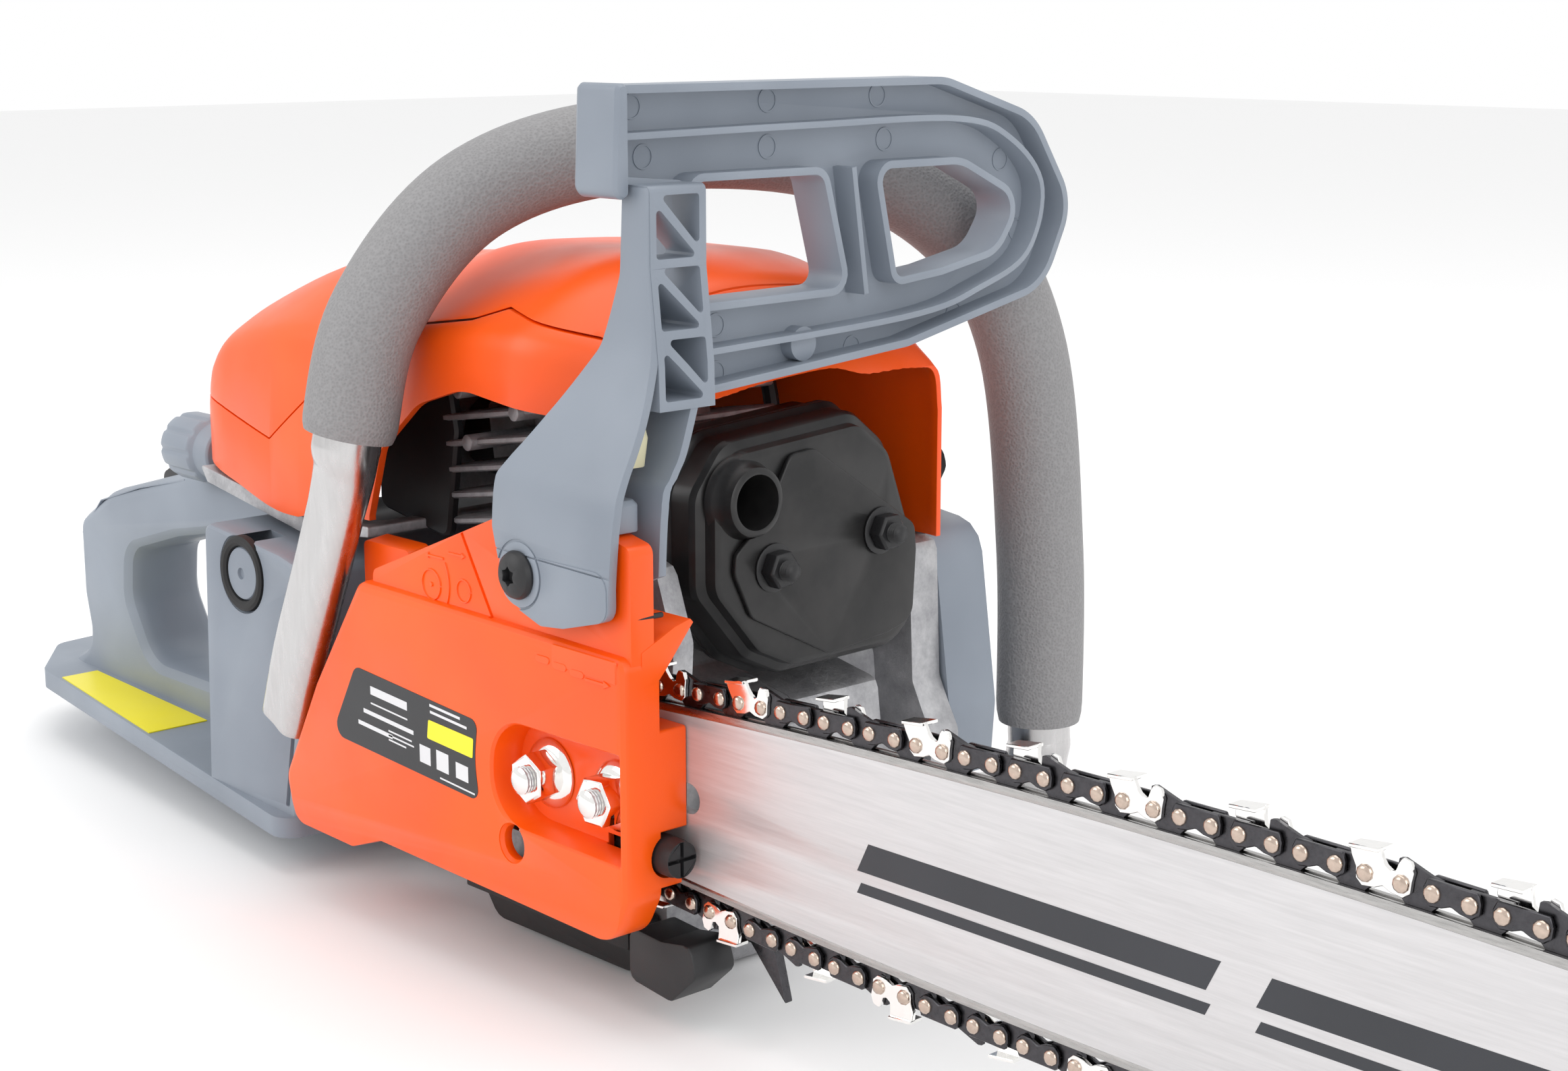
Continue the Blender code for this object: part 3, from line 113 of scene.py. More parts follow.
def shrink(outline, amount):
    """Move a closed outline inwards by a constant amount; a negative amount grows it."""
    n = len(outline)
    area = sum(outline[i][0] * outline[(i + 1) % n][1] - outline[(i + 1) % n][0] * outline[i][1]
               for i in range(n))
    sign = 1 if area > 0 else -1
    out = []
    for i in range(n):
        p = Vector(outline[i])
        a = (p - Vector(outline[i - 1])).normalized()
        b = (Vector(outline[(i + 1) % n]) - p).normalized()
        t = (a + b).normalized()
        inward = Vector((-t.y, t.x)) * sign
        scale = 1.0 / max(0.5, inward.dot(Vector((-a.y, a.x)) * sign))
        out.append(tuple(p + inward * amount * scale))
    return out


PLANES = {
    "XZ": lambda u, v, w: (u, w, v),
    "YZ": lambda u, v, w: (w, u, v),
    "XY": lambda u, v, w: (u, v, w),
}


def rings_solid(rings, caps=True):
    """Closed solid through rings of equal length."""
    bm = bmesh.new()
    loops = [[bm.verts.new(Vector(p)) for p in ring] for ring in rings]
    n = len(loops[0])
    for a, b in zip(loops, loops[1:]):
        for i in range(n):
            bm.faces.new((a[i], a[(i + 1) % n], b[(i + 1) % n], b[i]))
    if caps:
        bm.faces.new(list(reversed(loops[0])))
        bm.faces.new(loops[-1])
    bmesh.ops.recalc_face_normals(bm, faces=bm.faces)
    return bm


def prism(outline, plane, lo, hi):
    put = PLANES[plane]
    return rings_solid([[put(u, v, w) for u, v in outline] for w in (lo, hi)])


def stack(outlines, plane, levels):
    """Solid through outlines of equal length at the given levels."""
    put = PLANES[plane]
    return rings_solid([[put(u, v, w) for u, v in o] for o, w in zip(outlines, levels)])


def basis(axis):
    z = Vector(axis).normalized()
    x = z.orthogonal().normalized()
    return x, z.cross(x), z


def turned(profile, centre, axis, steps=32):
    """Solid of revolution; the profile is (radius, height) from one end to the other."""
    x, y, z = basis(axis)
    c = Vector(centre)
    rings = []
    for r, h in profile:
        ring = []
        for i in range(steps):
            a = 2 * math.pi * i / steps
            ring.append(c + z * h + (x * math.cos(a) + y * math.sin(a)) * max(r, 0.01))
        rings.append(ring)
    return rings_solid(rings)


def ring_solid(profile, centre, axis, steps=32):
    """Closed ring: the profile (radius, height) is a closed loop that stays off the axis."""
    x, y, z = basis(axis)
    c = Vector(centre)
    bm = bmesh.new()
    loops = []
    for i in range(steps):
        a = 2 * math.pi * i / steps
        d = x * math.cos(a) + y * math.sin(a)
        loops.append([bm.verts.new(c + z * h + d * r) for r, h in profile])
    n = len(profile)
    for k in range(steps):
        a, b = loops[k], loops[(k + 1) % steps]
        for i in range(n):
            bm.faces.new((a[i], a[(i + 1) % n], b[(i + 1) % n], b[i]))
    bmesh.ops.recalc_face_normals(bm, faces=bm.faces)
    return bm


def cylinder(centre, axis, r, h, steps=32):
    return turned([(r, 0), (r, h)], centre, axis, steps)


def frames(path):
    """Rotation-minimising frames along a path: point, tangent, normal, binormal."""
    pts = [Vector(p) for p in path]
    n = len(pts)
    tangents = [(pts[min(i + 1, n - 1)] - pts[max(i - 1, 0)]).normalized() for i in range(n)]
    normal = tangents[0].orthogonal().normalized()
    out = []
    for p, t in zip(pts, tangents):
        normal = (normal - t * normal.dot(t)).normalized()
        out.append((p, t, normal, t.cross(normal)))
    return out


def curve_points(knots, count):
    """Smooth curve through the knots."""
    pts = [Vector(k) for k in knots]
    pts = [pts[0] * 2 - pts[1]] + pts + [pts[-1] * 2 - pts[-2]]
    out = []
    spans = len(pts) - 3
    for i in range(count):
        s = i / (count - 1) * spans
        k = min(int(s), spans - 1)
        t = s - k
        p0, p1, p2, p3 = pts[k:k + 4]
        out.append(0.5 * ((2 * p1) + (p2 - p0) * t + (2 * p0 - 5 * p1 + 4 * p2 - p3) * t * t
                          + (3 * p1 - p0 - 3 * p2 + p3) * t ** 3))
    return out


def temp_object(bm, name="temp"):
    mesh = bpy.data.meshes.new(name)
    bm.to_mesh(mesh)
    bm.free()
    obj = bpy.data.objects.new(name, mesh)
    bpy.context.scene.collection.objects.link(obj)
    return obj


def baked(obj):
    """The object's evaluated mesh as a plain mesh."""
    view = bpy.context.evaluated_depsgraph_get()
    return bpy.data.meshes.new_from_object(obj.evaluated_get(view))


def combine(base, parts, operation):
    target = temp_object(base)
    for part in parts:
        other = temp_object(part)
        mod = target.modifiers.new("combine", "BOOLEAN")
        mod.operation = operation
        mod.solver = "EXACT"
        mod.object = other
        result = baked(target)
        target.modifiers.remove(mod)
        target.data = result
        bpy.data.objects.remove(other, do_unlink=True)
    bm = bmesh.new()
    bm.from_mesh(target.data)
    bpy.data.objects.remove(target, do_unlink=True)
    return bm


def cut(base, *parts):
    return combine(base, parts, "DIFFERENCE")


def join(base, *parts):
    return combine(base, parts, "UNION")


def common(base, *parts):
    return combine(base, parts, "INTERSECT")


def gather(*parts):
    """Put separate closed shapes into one mesh without uniting them."""
    bm = bmesh.new()
    for part in parts:
        mesh = bpy.data.meshes.new("part")
        part.to_mesh(mesh)
        part.free()
        bm.from_mesh(mesh)
        bpy.data.meshes.remove(mesh)
    return bm


def piece(name, bm, finish, body="powerhead", stands_for=(), edge=0.0, sharp=32, segments=2,
          limit=28):
    """Write a shape in millimetres as a finished piece, its edges rounded by `edge`."""
    bmesh.ops.remove_doubles(bm, verts=bm.verts, dist=0.004)
    bmesh.ops.dissolve_degenerate(bm, edges=bm.edges, dist=0.002)
    bmesh.ops.scale(bm, verts=bm.verts, vec=(MM, MM, MM))
    obj = temp_object(bm, name)
    if edge > 0:
        mod = obj.modifiers.new("edge", "BEVEL")
        mod.width = edge * MM
        mod.segments = segments
        mod.limit_method = "ANGLE"
        mod.angle_limit = math.radians(limit)
        mod.use_clamp_overlap = True
        result = baked(obj)
        obj.modifiers.remove(mod)
        obj.data = result
    obj.name = name
    obj.data.name = name
    obj.data.shade_smooth()
    obj.data.set_sharp_from_angle(angle=math.radians(sharp))
    obj.data.materials.clear()
    obj.data.materials.append(finish)
    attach(obj, body)
    if stands_for:
        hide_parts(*stands_for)
    return obj


# ================================================================ material maths

class Value:
    """A number socket of a shader tree that takes Python arithmetic."""

    def __init__(self, tree, socket):
        self.tree = tree
        self.socket = socket

    def math(self, operation, other=0.0, swap=False):
        node = self.tree.nodes.new("ShaderNodeMath")
        node.operation = operation
        for slot, item in zip((1, 0) if swap else (0, 1), (self, other)):
            if isinstance(item, Value):
                self.tree.links.new(item.socket, node.inputs[slot])
            else:
                node.inputs[slot].default_value = item
        return Value(self.tree, node.outputs[0])

    def __add__(self, other):
        return self.math("ADD", other)

    __radd__ = __add__

    def __mul__(self, other):
        return self.math("MULTIPLY", other)

    __rmul__ = __mul__

    def __sub__(self, other):
        return self.math("SUBTRACT", other)

    def __rsub__(self, other):
        return self.math("SUBTRACT", other, swap=True)


class Finish:
    """One material under construction."""

    def __init__(self, name, colour=(0.5, 0.5, 0.5), rough=0.5, metal=0.0, **fixed):
        self.material = bpy.data.materials.new(name)
        self.material.use_nodes = True
        self.tree = self.material.node_tree
        self.shader = self.tree.nodes["Principled BSDF"]
        self.set("Base Color", (*colour, 1))
        self.set("Roughness", rough)
        self.set("Metallic", metal)
        for key, value in fixed.items():
            self.set(key.replace("_", " "), value)
        self.relief = None

    def set(self, name, value):
        socket = self.shader.inputs[name]
        if isinstance(value, Value):
            self.tree.links.new(value.socket, socket)
        elif isinstance(value, bpy.types.NodeSocket):
            self.tree.links.new(value, socket)
        else:
            socket.default_value = value

    def add(self, kind, settings=None, output=0, **inputs):
        """Any node: its settings first, then its sockets' values or links."""
        node = self.tree.nodes.new("ShaderNode" + kind)
        for key, value in (settings or {}).items():
            if key == "stops":
                ramp = node.color_ramp
                while len(ramp.elements) < len(value):
                    ramp.elements.new(0.5)
                for element, (place, colour) in zip(ramp.elements, value):
                    element.position = place
                    element.color = (*colour, 1) if len(colour) == 3 else colour
            else:
                setattr(node, key, value)
        for key, value in inputs.items():
            name = key.replace("_", " ")
            socket = node.inputs[int(key[1:])] if key[0] == "i" and key[1:].isdigit() \
                else node.inputs[name]
            if isinstance(value, Value):
                self.tree.links.new(value.socket, socket)
            elif isinstance(value, bpy.types.NodeSocket):
                self.tree.links.new(value, socket)
            else:
                socket.default_value = value
        return node.outputs[output]

    def place(self, scale=(1, 1, 1), turn=(0, 0, 0)):
        """Object coordinates in millimetres, stretched and turned."""
        where = self.add("TexCoord", output=3)
        size = tuple(s / MM for s in scale)
        return self.add("Mapping", {"vector_type": "POINT"}, Vector=where, Scale=size, Rotation=turn)

    def noise(self, scale, detail=3.0, rough=0.5, stretch=(1, 1, 1), turn=(0, 0, 0)):
        """Noise of `scale` waves per millimetre, 0 to 1."""
        out = self.add("TexNoise", Vector=self.place(stretch, turn), Scale=scale, Detail=detail,
                       Roughness=rough)
        return Value(self.tree, out)

    def cells(self, scale, stretch=(1, 1, 1), feature="F1", smooth=0.5):
        settings = {"feature": feature}
        inputs = {"Vector": self.place(stretch), "Scale": scale}
        if feature == "SMOOTH_F1":
            inputs["Smoothness"] = smooth
        return Value(self.tree, self.add("TexVoronoi", settings, **inputs))

    def level(self, value, low, high, to_low=0.0, to_high=1.0):
        out = self.add("MapRange", {"clamp": True}, Value=value, From_Min=low, From_Max=high,
                       To_Min=to_low, To_Max=to_high)
        return Value(self.tree, out)

    def blend(self, factor, first, second):
        node = self.tree.nodes.new("ShaderNodeMix")
        node.data_type = "RGBA"
        for socket, item in zip((node.inputs[0], node.inputs[6], node.inputs[7]),
                                (factor, first, second)):
            if isinstance(item, Value):
                self.tree.links.new(item.socket, socket)
            elif isinstance(item, bpy.types.NodeSocket):
                self.tree.links.new(item, socket)
            elif isinstance(item, (int, float)):
                socket.default_value = item
            else:
                socket.default_value = (*item, 1)
        return node.outputs[2]

    def bump(self, height, depth_mm, strength=1.0):
        """Add relief; depth is what a height of one stands for."""
        inputs = {"Height": height, "Distance": depth_mm * MM, "Strength": strength}
        if self.relief is not None:
            inputs["Normal"] = self.relief
        self.relief = self.add("Bump", **inputs)
        self.set("Normal", self.relief)


def linear(r, g, b):
    """8-bit sRGB to linear."""
    out = []
    for c in (r, g, b):
        c /= 255
        out.append(c / 12.92 if c <= 0.04045 else ((c + 0.055) / 1.055) ** 2.4)
    return tuple(out)


# ================================================================ finishes

ORANGE = linear(252, 92, 0)
ORANGE_DEEP = linear(244, 80, 0)
SLATE = linear(141, 149, 160)
SLATE_DARK = linear(124, 132, 143)
SLEEVE = linear(140, 138, 136)


def plastic(name, light, dark, rough, grain=2.2, depth=0.02, coat=0.0):
    """Moulded plastic: faint tone drift, fine tool-mark texture and roughness drift."""
    f = Finish(name, light, rough, IOR=1.49, Coat_Weight=coat, Coat_Roughness=0.25)
    f.set("Base Color", f.blend(f.level(f.noise(0.018, 2), 0.3, 0.7), dark, light))
    f.set("Roughness", f.level(f.noise(0.05, 3), 0.3, 0.7, rough - 0.05, rough + 0.06))
    f.bump(f.noise(grain, 4, 0.6), depth)
    return f


def casting(name, light, dark, rough=0.5, metal=0.75, depth=0.12):
    """Sand-grained die casting."""
    f = Finish(name, light, rough, metal)
    f.set("Base Color", f.blend(f.level(f.noise(0.09, 5, 0.7), 0.3, 0.7), dark, light))
    f.set("Roughness", f.level(f.noise(0.9, 3), 0.3, 0.7, rough - 0.1, rough + 0.15))
    f.bump(f.noise(0.8, 5, 0.75), depth)
    return f


def bare_metal(name, colour, rough, stretch=(1, 1, 1), grain=1.5, depth=0.01, drift=0.5):
    """Bare steel or alloy with fine marks along the stretch direction."""
    f = Finish(name, colour, rough, 1.0)
    marks = f.noise(grain, 4, 0.65, stretch)
    low = tuple(c * (1 - drift * 0.5) for c in colour)
    f.set("Base Color", f.blend(f.level(marks, 0.3, 0.7), low, colour))
    f.set("Roughness", f.level(marks, 0.25, 0.75, rough * 0.75, rough * 1.35))
    f.bump(marks, depth)
    return f


def make_finishes():
    finishes = {}
    finishes["orange"] = plastic("orange moulding", ORANGE, ORANGE_DEEP, 0.36, 1.6, 0.004, 0.06)
    finishes["grey"] = plastic("slate moulding", SLATE, SLATE_DARK, 0.42, 1.8, 0.02)
    sleeve = Finish("grained sleeve", SLEEVE, 0.55, IOR=1.5)
    dents = sleeve.cells(1.2, feature="SMOOTH_F1", smooth=0.6)
    sleeve.set("Base Color", sleeve.blend(sleeve.level(dents, 0.1, 0.75),
                                          linear(128, 127, 128), linear(144, 143, 144)))
    sleeve.set("Roughness", sleeve.level(dents, 0.1, 0.8, 0.5, 0.66))
    sleeve.bump(dents, 0.22)
    sleeve.bump(sleeve.noise(2.5, 3), 0.06)
    finishes["grip"] = sleeve
    finishes["alloy"] = casting("sandy casting", linear(196, 196, 198), linear(150, 150, 154))
    finishes["polished"] = bare_metal("polished tube", (0.6, 0.59, 0.59), 0.24, (1, 1, 0.12), 0.5,
                                      0.03, 0.25)
    finishes["steel"] = bare_metal("machined steel", (0.55, 0.55, 0.56), 0.3)
    finishes["chrome"] = bare_metal("bright plate", (0.9, 0.89, 0.87), 0.09, (1, 1, 1), 0.6, 0.004, 0.1)
    finishes["dark"] = bare_metal("blued steel", (0.09, 0.088, 0.095), 0.3, (1, 1, 1), 0.7, 0.02, 0.6)
    finishes["rivet"] = bare_metal("rivet head", (0.62, 0.5, 0.42), 0.2, (1, 1, 1), 0.8, 0.01, 0.4)
    finishes["rail"] = bare_metal("bare rail", (0.5, 0.49, 0.48), 0.28, (0.1, 1, 1), 1.5, 0.01, 0.5)
    finishes["black"] = plastic("black moulding", linear(34, 34, 36), linear(26, 26, 28), 0.45)
    finishes["rubber"] = plastic("black rubber", linear(30, 30, 31), linear(22, 22, 23), 0.62, 1.2, 0.03)
    finishes["felt"] = plastic("filter flock", linear(196, 192, 184), linear(176, 172, 164), 0.9, 1.5, 0.2)
    finishes["white"] = plastic("pale nylon", linear(232, 230, 224), linear(216, 214, 208), 0.5)
    silencer = Finish("baked black", linear(38, 38, 39), 0.38, 0.35, Coat_Weight=0.15,
                      Coat_Roughness=0.3)
    patches = silencer.noise(0.05, 4, 0.6)
    silencer.set("Base Color", silencer.blend(silencer.level(patches, 0.35, 0.65),
                                              linear(27, 27, 28), linear(44, 43, 43)))
    silencer.set("Roughness", silencer.level(patches, 0.3, 0.7, 0.3, 0.46))
    silencer.bump(silencer.noise(1.5, 4), 0.015)
    finishes["silencer"] = silencer
    bar = Finish("painted bar", linear(206, 204, 205), 0.36, 0.35)
    ground = bar.noise(1.2, 4, 0.6, (0.04, 1, 1))
    bar.set("Base Color", bar.blend(bar.level(ground, 0.3, 0.7), linear(200, 198, 199),
                                    linear(212, 210, 211)))
    bar.set("Roughness", bar.level(ground, 0.3, 0.7, 0.3, 0.42))
    bar.bump(ground, 0.006)
    finishes["bar"] = bar
    finishes["ink"] = plastic("dark ink", linear(52, 54, 60), linear(46, 48, 53), 0.4)
    finishes["label"] = plastic("label film", linear(40, 41, 44), linear(36, 37, 40), 0.32)
    finishes["label_yellow"] = plastic("yellow film", linear(250, 236, 40), linear(244, 228, 30), 0.35)
    finishes["label_white"] = plastic("white print", linear(225, 226, 228), linear(218, 219, 222), 0.4)
    finishes["cream"] = plastic("cream moulding", linear(226, 222, 190), linear(214, 209, 175), 0.45)
    return {key: f.material for key, f in finishes.items()}


FINISH = make_finishes()
SLOT_FINISH = {"orange": "orange", "grey": "grey", "grip": "grip", "alloy": "alloy",
               "polished": "polished", "steel": "steel", "chrome": "chrome", "bar": "bar",
               "dark": "dark", "black": "black", "rubber": "rubber", "felt": "felt",
               "white": "white", "silencer": "silencer"}


def dress_frame():
    """Give every carried-over node the finish of its slot."""
    for node in frame["nodes"].values():
        for place in node.material_slots:
            old = place.material.name.split(".")[0] if place.material else "grey"
            place.material = FINISH[SLOT_FINISH.get(old, "grey")]


# ================================================================ copies of one shape

def copies_tree():
    """Place a shape on every point, turned by the point's own angles."""
    tree = bpy.data.node_groups.new("place copies", "GeometryNodeTree")
    sockets = tree.interface
    sockets.new_socket("Geometry", in_out="INPUT", socket_type="NodeSocketGeometry")
    sockets.new_socket("Shape", in_out="INPUT", socket_type="NodeSocketObject")
    size = sockets.new_socket("Size", in_out="INPUT", socket_type="NodeSocketFloat")
    size.default_value = 1.0
    sockets.new_socket("Finish", in_out="INPUT", socket_type="NodeSocketMaterial")
    sockets.new_socket("Geometry", in_out="OUTPUT", socket_type="NodeSocketGeometry")
    new, link = tree.nodes.new, tree.links.new
    given, result = new("NodeGroupInput"), new("NodeGroupOutput")
    shape = new("GeometryNodeObjectInfo")
    shape.transform_space = "ORIGINAL"
    angles = new("GeometryNodeInputNamedAttribute")
    angles.data_type = "FLOAT_VECTOR"
    angles.inputs["Name"].default_value = "turn"
    turn = new("FunctionNodeEulerToRotation")
    place = new("GeometryNodeInstanceOnPoints")
    real = new("GeometryNodeRealizeInstances")
    paint = new("GeometryNodeSetMaterial")
    link(given.outputs["Shape"], shape.inputs["Object"])
    link(angles.outputs["Attribute"], turn.inputs[0])
    link(given.outputs["Geometry"], place.inputs["Points"])
    link(shape.outputs["Geometry"], place.inputs["Instance"])
    link(turn.outputs[0], place.inputs["Rotation"])
    link(given.outputs["Size"], place.inputs["Scale"])
    link(place.outputs["Instances"], real.inputs["Geometry"])
    link(real.outputs["Geometry"], paint.inputs["Geometry"])
    link(given.outputs["Finish"], paint.inputs["Material"])
    link(paint.outputs["Geometry"], result.inputs["Geometry"])
    return tree


COPIES = copies_tree()
COPY_INPUT = {item.name: item.identifier for item in COPIES.interface.items_tree
              if item.in_out == "INPUT"}


def copies(name, shape, spots, finish, body="powerhead", stands_for=(), edge=0.0, sharp=35, size=1.0):
    """One piece made of a shape (mm) repeated at spots: (place, angles)."""
    bmesh.ops.scale(shape, verts=shape.verts, vec=(MM, MM, MM))
    pattern = temp_object(shape, name + " shape")
    if edge > 0:
        mod = pattern.modifiers.new("edge", "BEVEL")
        mod.width = edge * MM
        mod.segments = 1
        mod.limit_method = "ANGLE"
        mod.angle_limit = math.radians(40)
        result = baked(pattern)
        pattern.modifiers.remove(mod)
        pattern.data = result
    points = bpy.data.meshes.new(name)
    points.from_pydata([Vector(p) * MM for p, _ in spots], [], [])
    turn = points.attributes.new("turn", "FLOAT_VECTOR", "POINT")
    turn.data.foreach_set("vector", [c for _, angles in spots for c in angles])
    obj = bpy.data.objects.new(name, points)
    bpy.context.scene.collection.objects.link(obj)
    mod = obj.modifiers.new("copies", "NODES")
    mod.node_group = COPIES
    mod[COPY_INPUT["Shape"]] = pattern
    mod[COPY_INPUT["Size"]] = size
    mod[COPY_INPUT["Finish"]] = FINISH[finish]
    result = baked(obj)
    obj.modifiers.remove(mod)
    obj.data = result
    obj.data.name = name
    bpy.data.objects.remove(pattern, do_unlink=True)
    obj.data.shade_smooth()
    obj.data.set_sharp_from_angle(angle=math.radians(sharp))
    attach(obj, body)
    if stands_for:
        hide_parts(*stands_for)
    return obj


# ================================================================ bar and chain

BAR_Y, BAR_Z, BAR_T = -40.0, 68.0, 4.2
BELLY_X, BELLY_H = 247.0, 34.85
RAIL_DROP = 4.5
TAIL_X, NOSE_R = 27.0, 26.3
CRANK_X, CRANK_Z = -16.0, 68.0
SPROCKET_R = 18.4
LINK_PITCH, DRIVE_LINKS = 16.51, 66
RIVET_GAP = 7.56
STUD_X = (39.0, 69.0)


def rivet_half(x, nose_x):
    """Height of the rivet line over the bar's centreline."""
    if x <= BELLY_X:
        return BELLY_H - 3.75 * ((x - BELLY_X) / 150.0) ** 2
    return BELLY_H - (BELLY_H - NOSE_R) * ((x - BELLY_X) / (nose_x - BELLY_X)) ** 2


def chain_line(nose_x, run=120, turn=60):
    """Closed line of the rivets, clockwise seen from the right."""
    tail_h = rivet_half(TAIL_X, nose_x)
    dx = TAIL_X - CRANK_X
    tangent = math.atan2(tail_h, dx) + math.acos(SPROCKET_R / math.hypot(dx, tail_h))
    top = [(x, rivet_half(x, nose_x))
           for x in (TAIL_X + (nose_x - TAIL_X) * i / run for i in range(run + 1))]
    nose = [(nose_x + NOSE_R * math.cos(a), NOSE_R * math.sin(a))
            for a in (math.pi / 2 - math.pi * i / turn for i in range(1, turn))]
    tail = [(CRANK_X + SPROCKET_R * math.cos(a), SPROCKET_R * math.sin(a))
            for a in (-tangent - (2 * math.pi - 2 * tangent) * i / turn for i in range(turn + 1))]
    bottom = [(x, -z) for x, z in reversed(top)]
    return [(x, z + BAR_Z) for x, z in top + nose + bottom + tail]


def lengths(points):
    return [math.hypot(a[0] - b[0], a[1] - b[1]) for a, b in zip(points, points[1:] + points[:1])]


def solve_nose():
    """Place the nose so that the loop has its full count of drive links."""
    low, high = 420.0, 500.0
    for _ in range(40):
        mid = (low + high) / 2
        if sum(lengths(chain_line(mid))) < LINK_PITCH * DRIVE_LINKS:
            low = mid
        else:
            high = mid
    return low


NOSE_X = solve_nose()


def rivets_on_line():
    """Rivet centres round the loop, starting with the first visible pair on the top run."""
    line = chain_line(NOSE_X)
    steps = lengths(line)
    total = sum(steps)
    start = 97.0 - TAIL_X
    out = []
    for k in range(2 * DRIVE_LINKS):
        s = (start + (k // 2) * total / DRIVE_LINKS + (k % 2) * RIVET_GAP) % total
        i = 0
        while s > steps[i] and i < len(steps) - 1:
            s -= steps[i]
            i += 1
        a, b = line[i], line[(i + 1) % len(line)]
        t = s / steps[i]
        out.append((a[0] + (b[0] - a[0]) * t, a[1] + (b[1] - a[1]) * t))
    return out


def spot(a, b, y=0.0):
    """Place and angles of a link held by two rivets."""
    return ((a[0] + b[0]) / 2, BAR_Y + y, (a[1] + b[1]) / 2), (0, -math.atan2(b[1] - a[1], b[0] - a[0]), 0)


def strap(half, height, thick, notch):
    """Tie strap: two round ends, waisted under the middle."""
    pts = [(-half - 2.4, 0.9), (-half - 1.5, height), (half + 1.5, height), (half + 2.4, 0.9),
           (half + 2.2, -1.6), (half + 0.6, -height), (notch, -height + 0.4), (0, -height + 1.3),
           (-notch, -height + 0.4), (-half - 0.6, -height), (-half - 2.2, -1.6)]
    return prism(pts, "XZ", -thick / 2, thick / 2)


def drive_link():
    pts = [(-6.0, 0.3), (-5.2, 2.7), (5.2, 2.7), (6.0, 0.3), (5.0, -2.8), (3.4, -4.4), (2.6, -8.6),
           (0.6, -9.8), (-0.4, -8.0), (-3.4, -4.6), (-5.2, -2.8)]
    return prism(pts, "XZ", -0.7, 0.7)


def guard_link():
    """Drive link with a ramp ahead of the depth gauge."""
    pts = [(-6.0, 0.3), (-5.6, 5.0), (-4.2, 5.3), (2.6, 3.0), (5.2, 2.7), (6.0, 0.3), (5.0, -2.8),
           (3.4, -4.4), (2.6, -8.6), (0.6, -9.8), (-0.4, -8.0), (-3.4, -4.6), (-5.2, -2.8)]
    return prism(pts, "XZ", -0.7, 0.7)


def cutter(side):
    """Cutter with a depth gauge ahead of a round gullet; side is +1 on the near face."""
    plate = [(-6.9, 0.9), (-7.9, 3.2), (-8.3, 6.0), (-0.6, 6.8), (-0.2, 4.6), (0.5, 3.0), (1.8, 2.2),
             (3.0, 2.6), (3.6, 4.6), (4.4, 5.7), (6.4, 5.2), (7.3, 3.0), (6.9, 0.9), (6.7, -1.6),
             (5.1, -3.0), (2.0, -2.6), (0, -1.7), (-2.0, -2.6), (-5.1, -3.0), (-6.7, -1.6)]
    flat = prism(plate, "XZ", -0.65, 0.65)
    for v in flat.verts:
        if v.co.z > 2.9 and v.co.x < 2:
            v.co.y -= side * (v.co.z - 2.9) * 0.28
    lip = stack([[(-8.3, -1.9), (-0.6, -2.3), (-0.6, 3.4), (-8.3, 2.7)],
                 [(-8.3, -1.9), (-0.6, -2.3), (-0.6, 3.4), (-8.3, 2.7)]], "XY", [0, 0.9])
    for v in lip.verts:
        v.co.z += 5.9 + (v.co.x + 0.6) * 0.1
        v.co.y *= side
    if side < 0:
        bmesh.ops.recalc_face_normals(lip, faces=lip.faces)
    return gather(flat, lip)


def make_chain():
    rivets = rivets_on_line()
    drives, guards, near, far, cut_near, cut_far = [], [], [], [], [], []
    count = len(rivets)
    for k in range(DRIVE_LINKS):
        a, b, c = rivets[2 * k], rivets[2 * k + 1], rivets[(2 * k + 2) % count]
        here = spot(b, c, -1.45), spot(b, c, 1.45)
        turn = k % 4
        (guards if turn in (1, 3) else drives).append(spot(a, b))
        if turn == 0:
            cut_near.append(here[0])
            far.append(here[1])
        elif turn == 2:
            cut_far.append(here[1])
            near.append(here[0])
        else:
            near.append(here[0])
            far.append(here[1])
    copies("chain_drive_links", drive_link(), drives, "dark", stands_for=("saw_chain",), edge=0.2)
    copies("chain_guard_links", guard_link(), guards, "dark", edge=0.2)
    copies("chain_near_straps", strap(4.48, 3.0, 1.3, 2.2), near, "dark", edge=0.25)
    copies("chain_far_straps", strap(4.48, 3.0, 1.3, 2.2), far, "dark", edge=0.25)
    copies("chain_near_cutters", cutter(1), cut_near, "chrome", edge=0.15)
    copies("chain_far_cutters", cutter(-1), cut_far, "chrome", edge=0.15)
    head = turned([(1.1, -3.1), (1.75, -2.85), (2.05, -2.35), (2.1, -2.0), (2.1, 2.0), (2.05, 2.35),
                   (1.75, 2.85), (1.1, 3.1)], (0, 0, 0), (0, 1, 0), 10)
    copies("chain_rivets", head, [((x, BAR_Y, z), (0, 0, 0)) for x, z in rivets], "rivet", sharp=50)


def bar_outline(drop, steps=40):
    top = []
    for i in range(steps + 1):
        x = TAIL_X + (NOSE_X - TAIL_X) * i / steps
        top.append((x, BAR_Z + rivet_half(x, NOSE_X) - drop))
    nose = arc(NOSE_X, BAR_Z, NOSE_R - drop, 90, -90, 24)[1:-1]
    bottom = [(x, 2 * BAR_Z - z) for x, z in reversed(top)]
    return top + nose + bottom + [(TAIL_X - 5, BAR_Z - 14), (TAIL_X - 5, BAR_Z + 14)]


def slot_outline(x0, x1, z, r, steps=10):
    return arc(x1 - r, z, r, -90, 90, steps) + arc(x0 + r, z, r, 90, 270, steps)


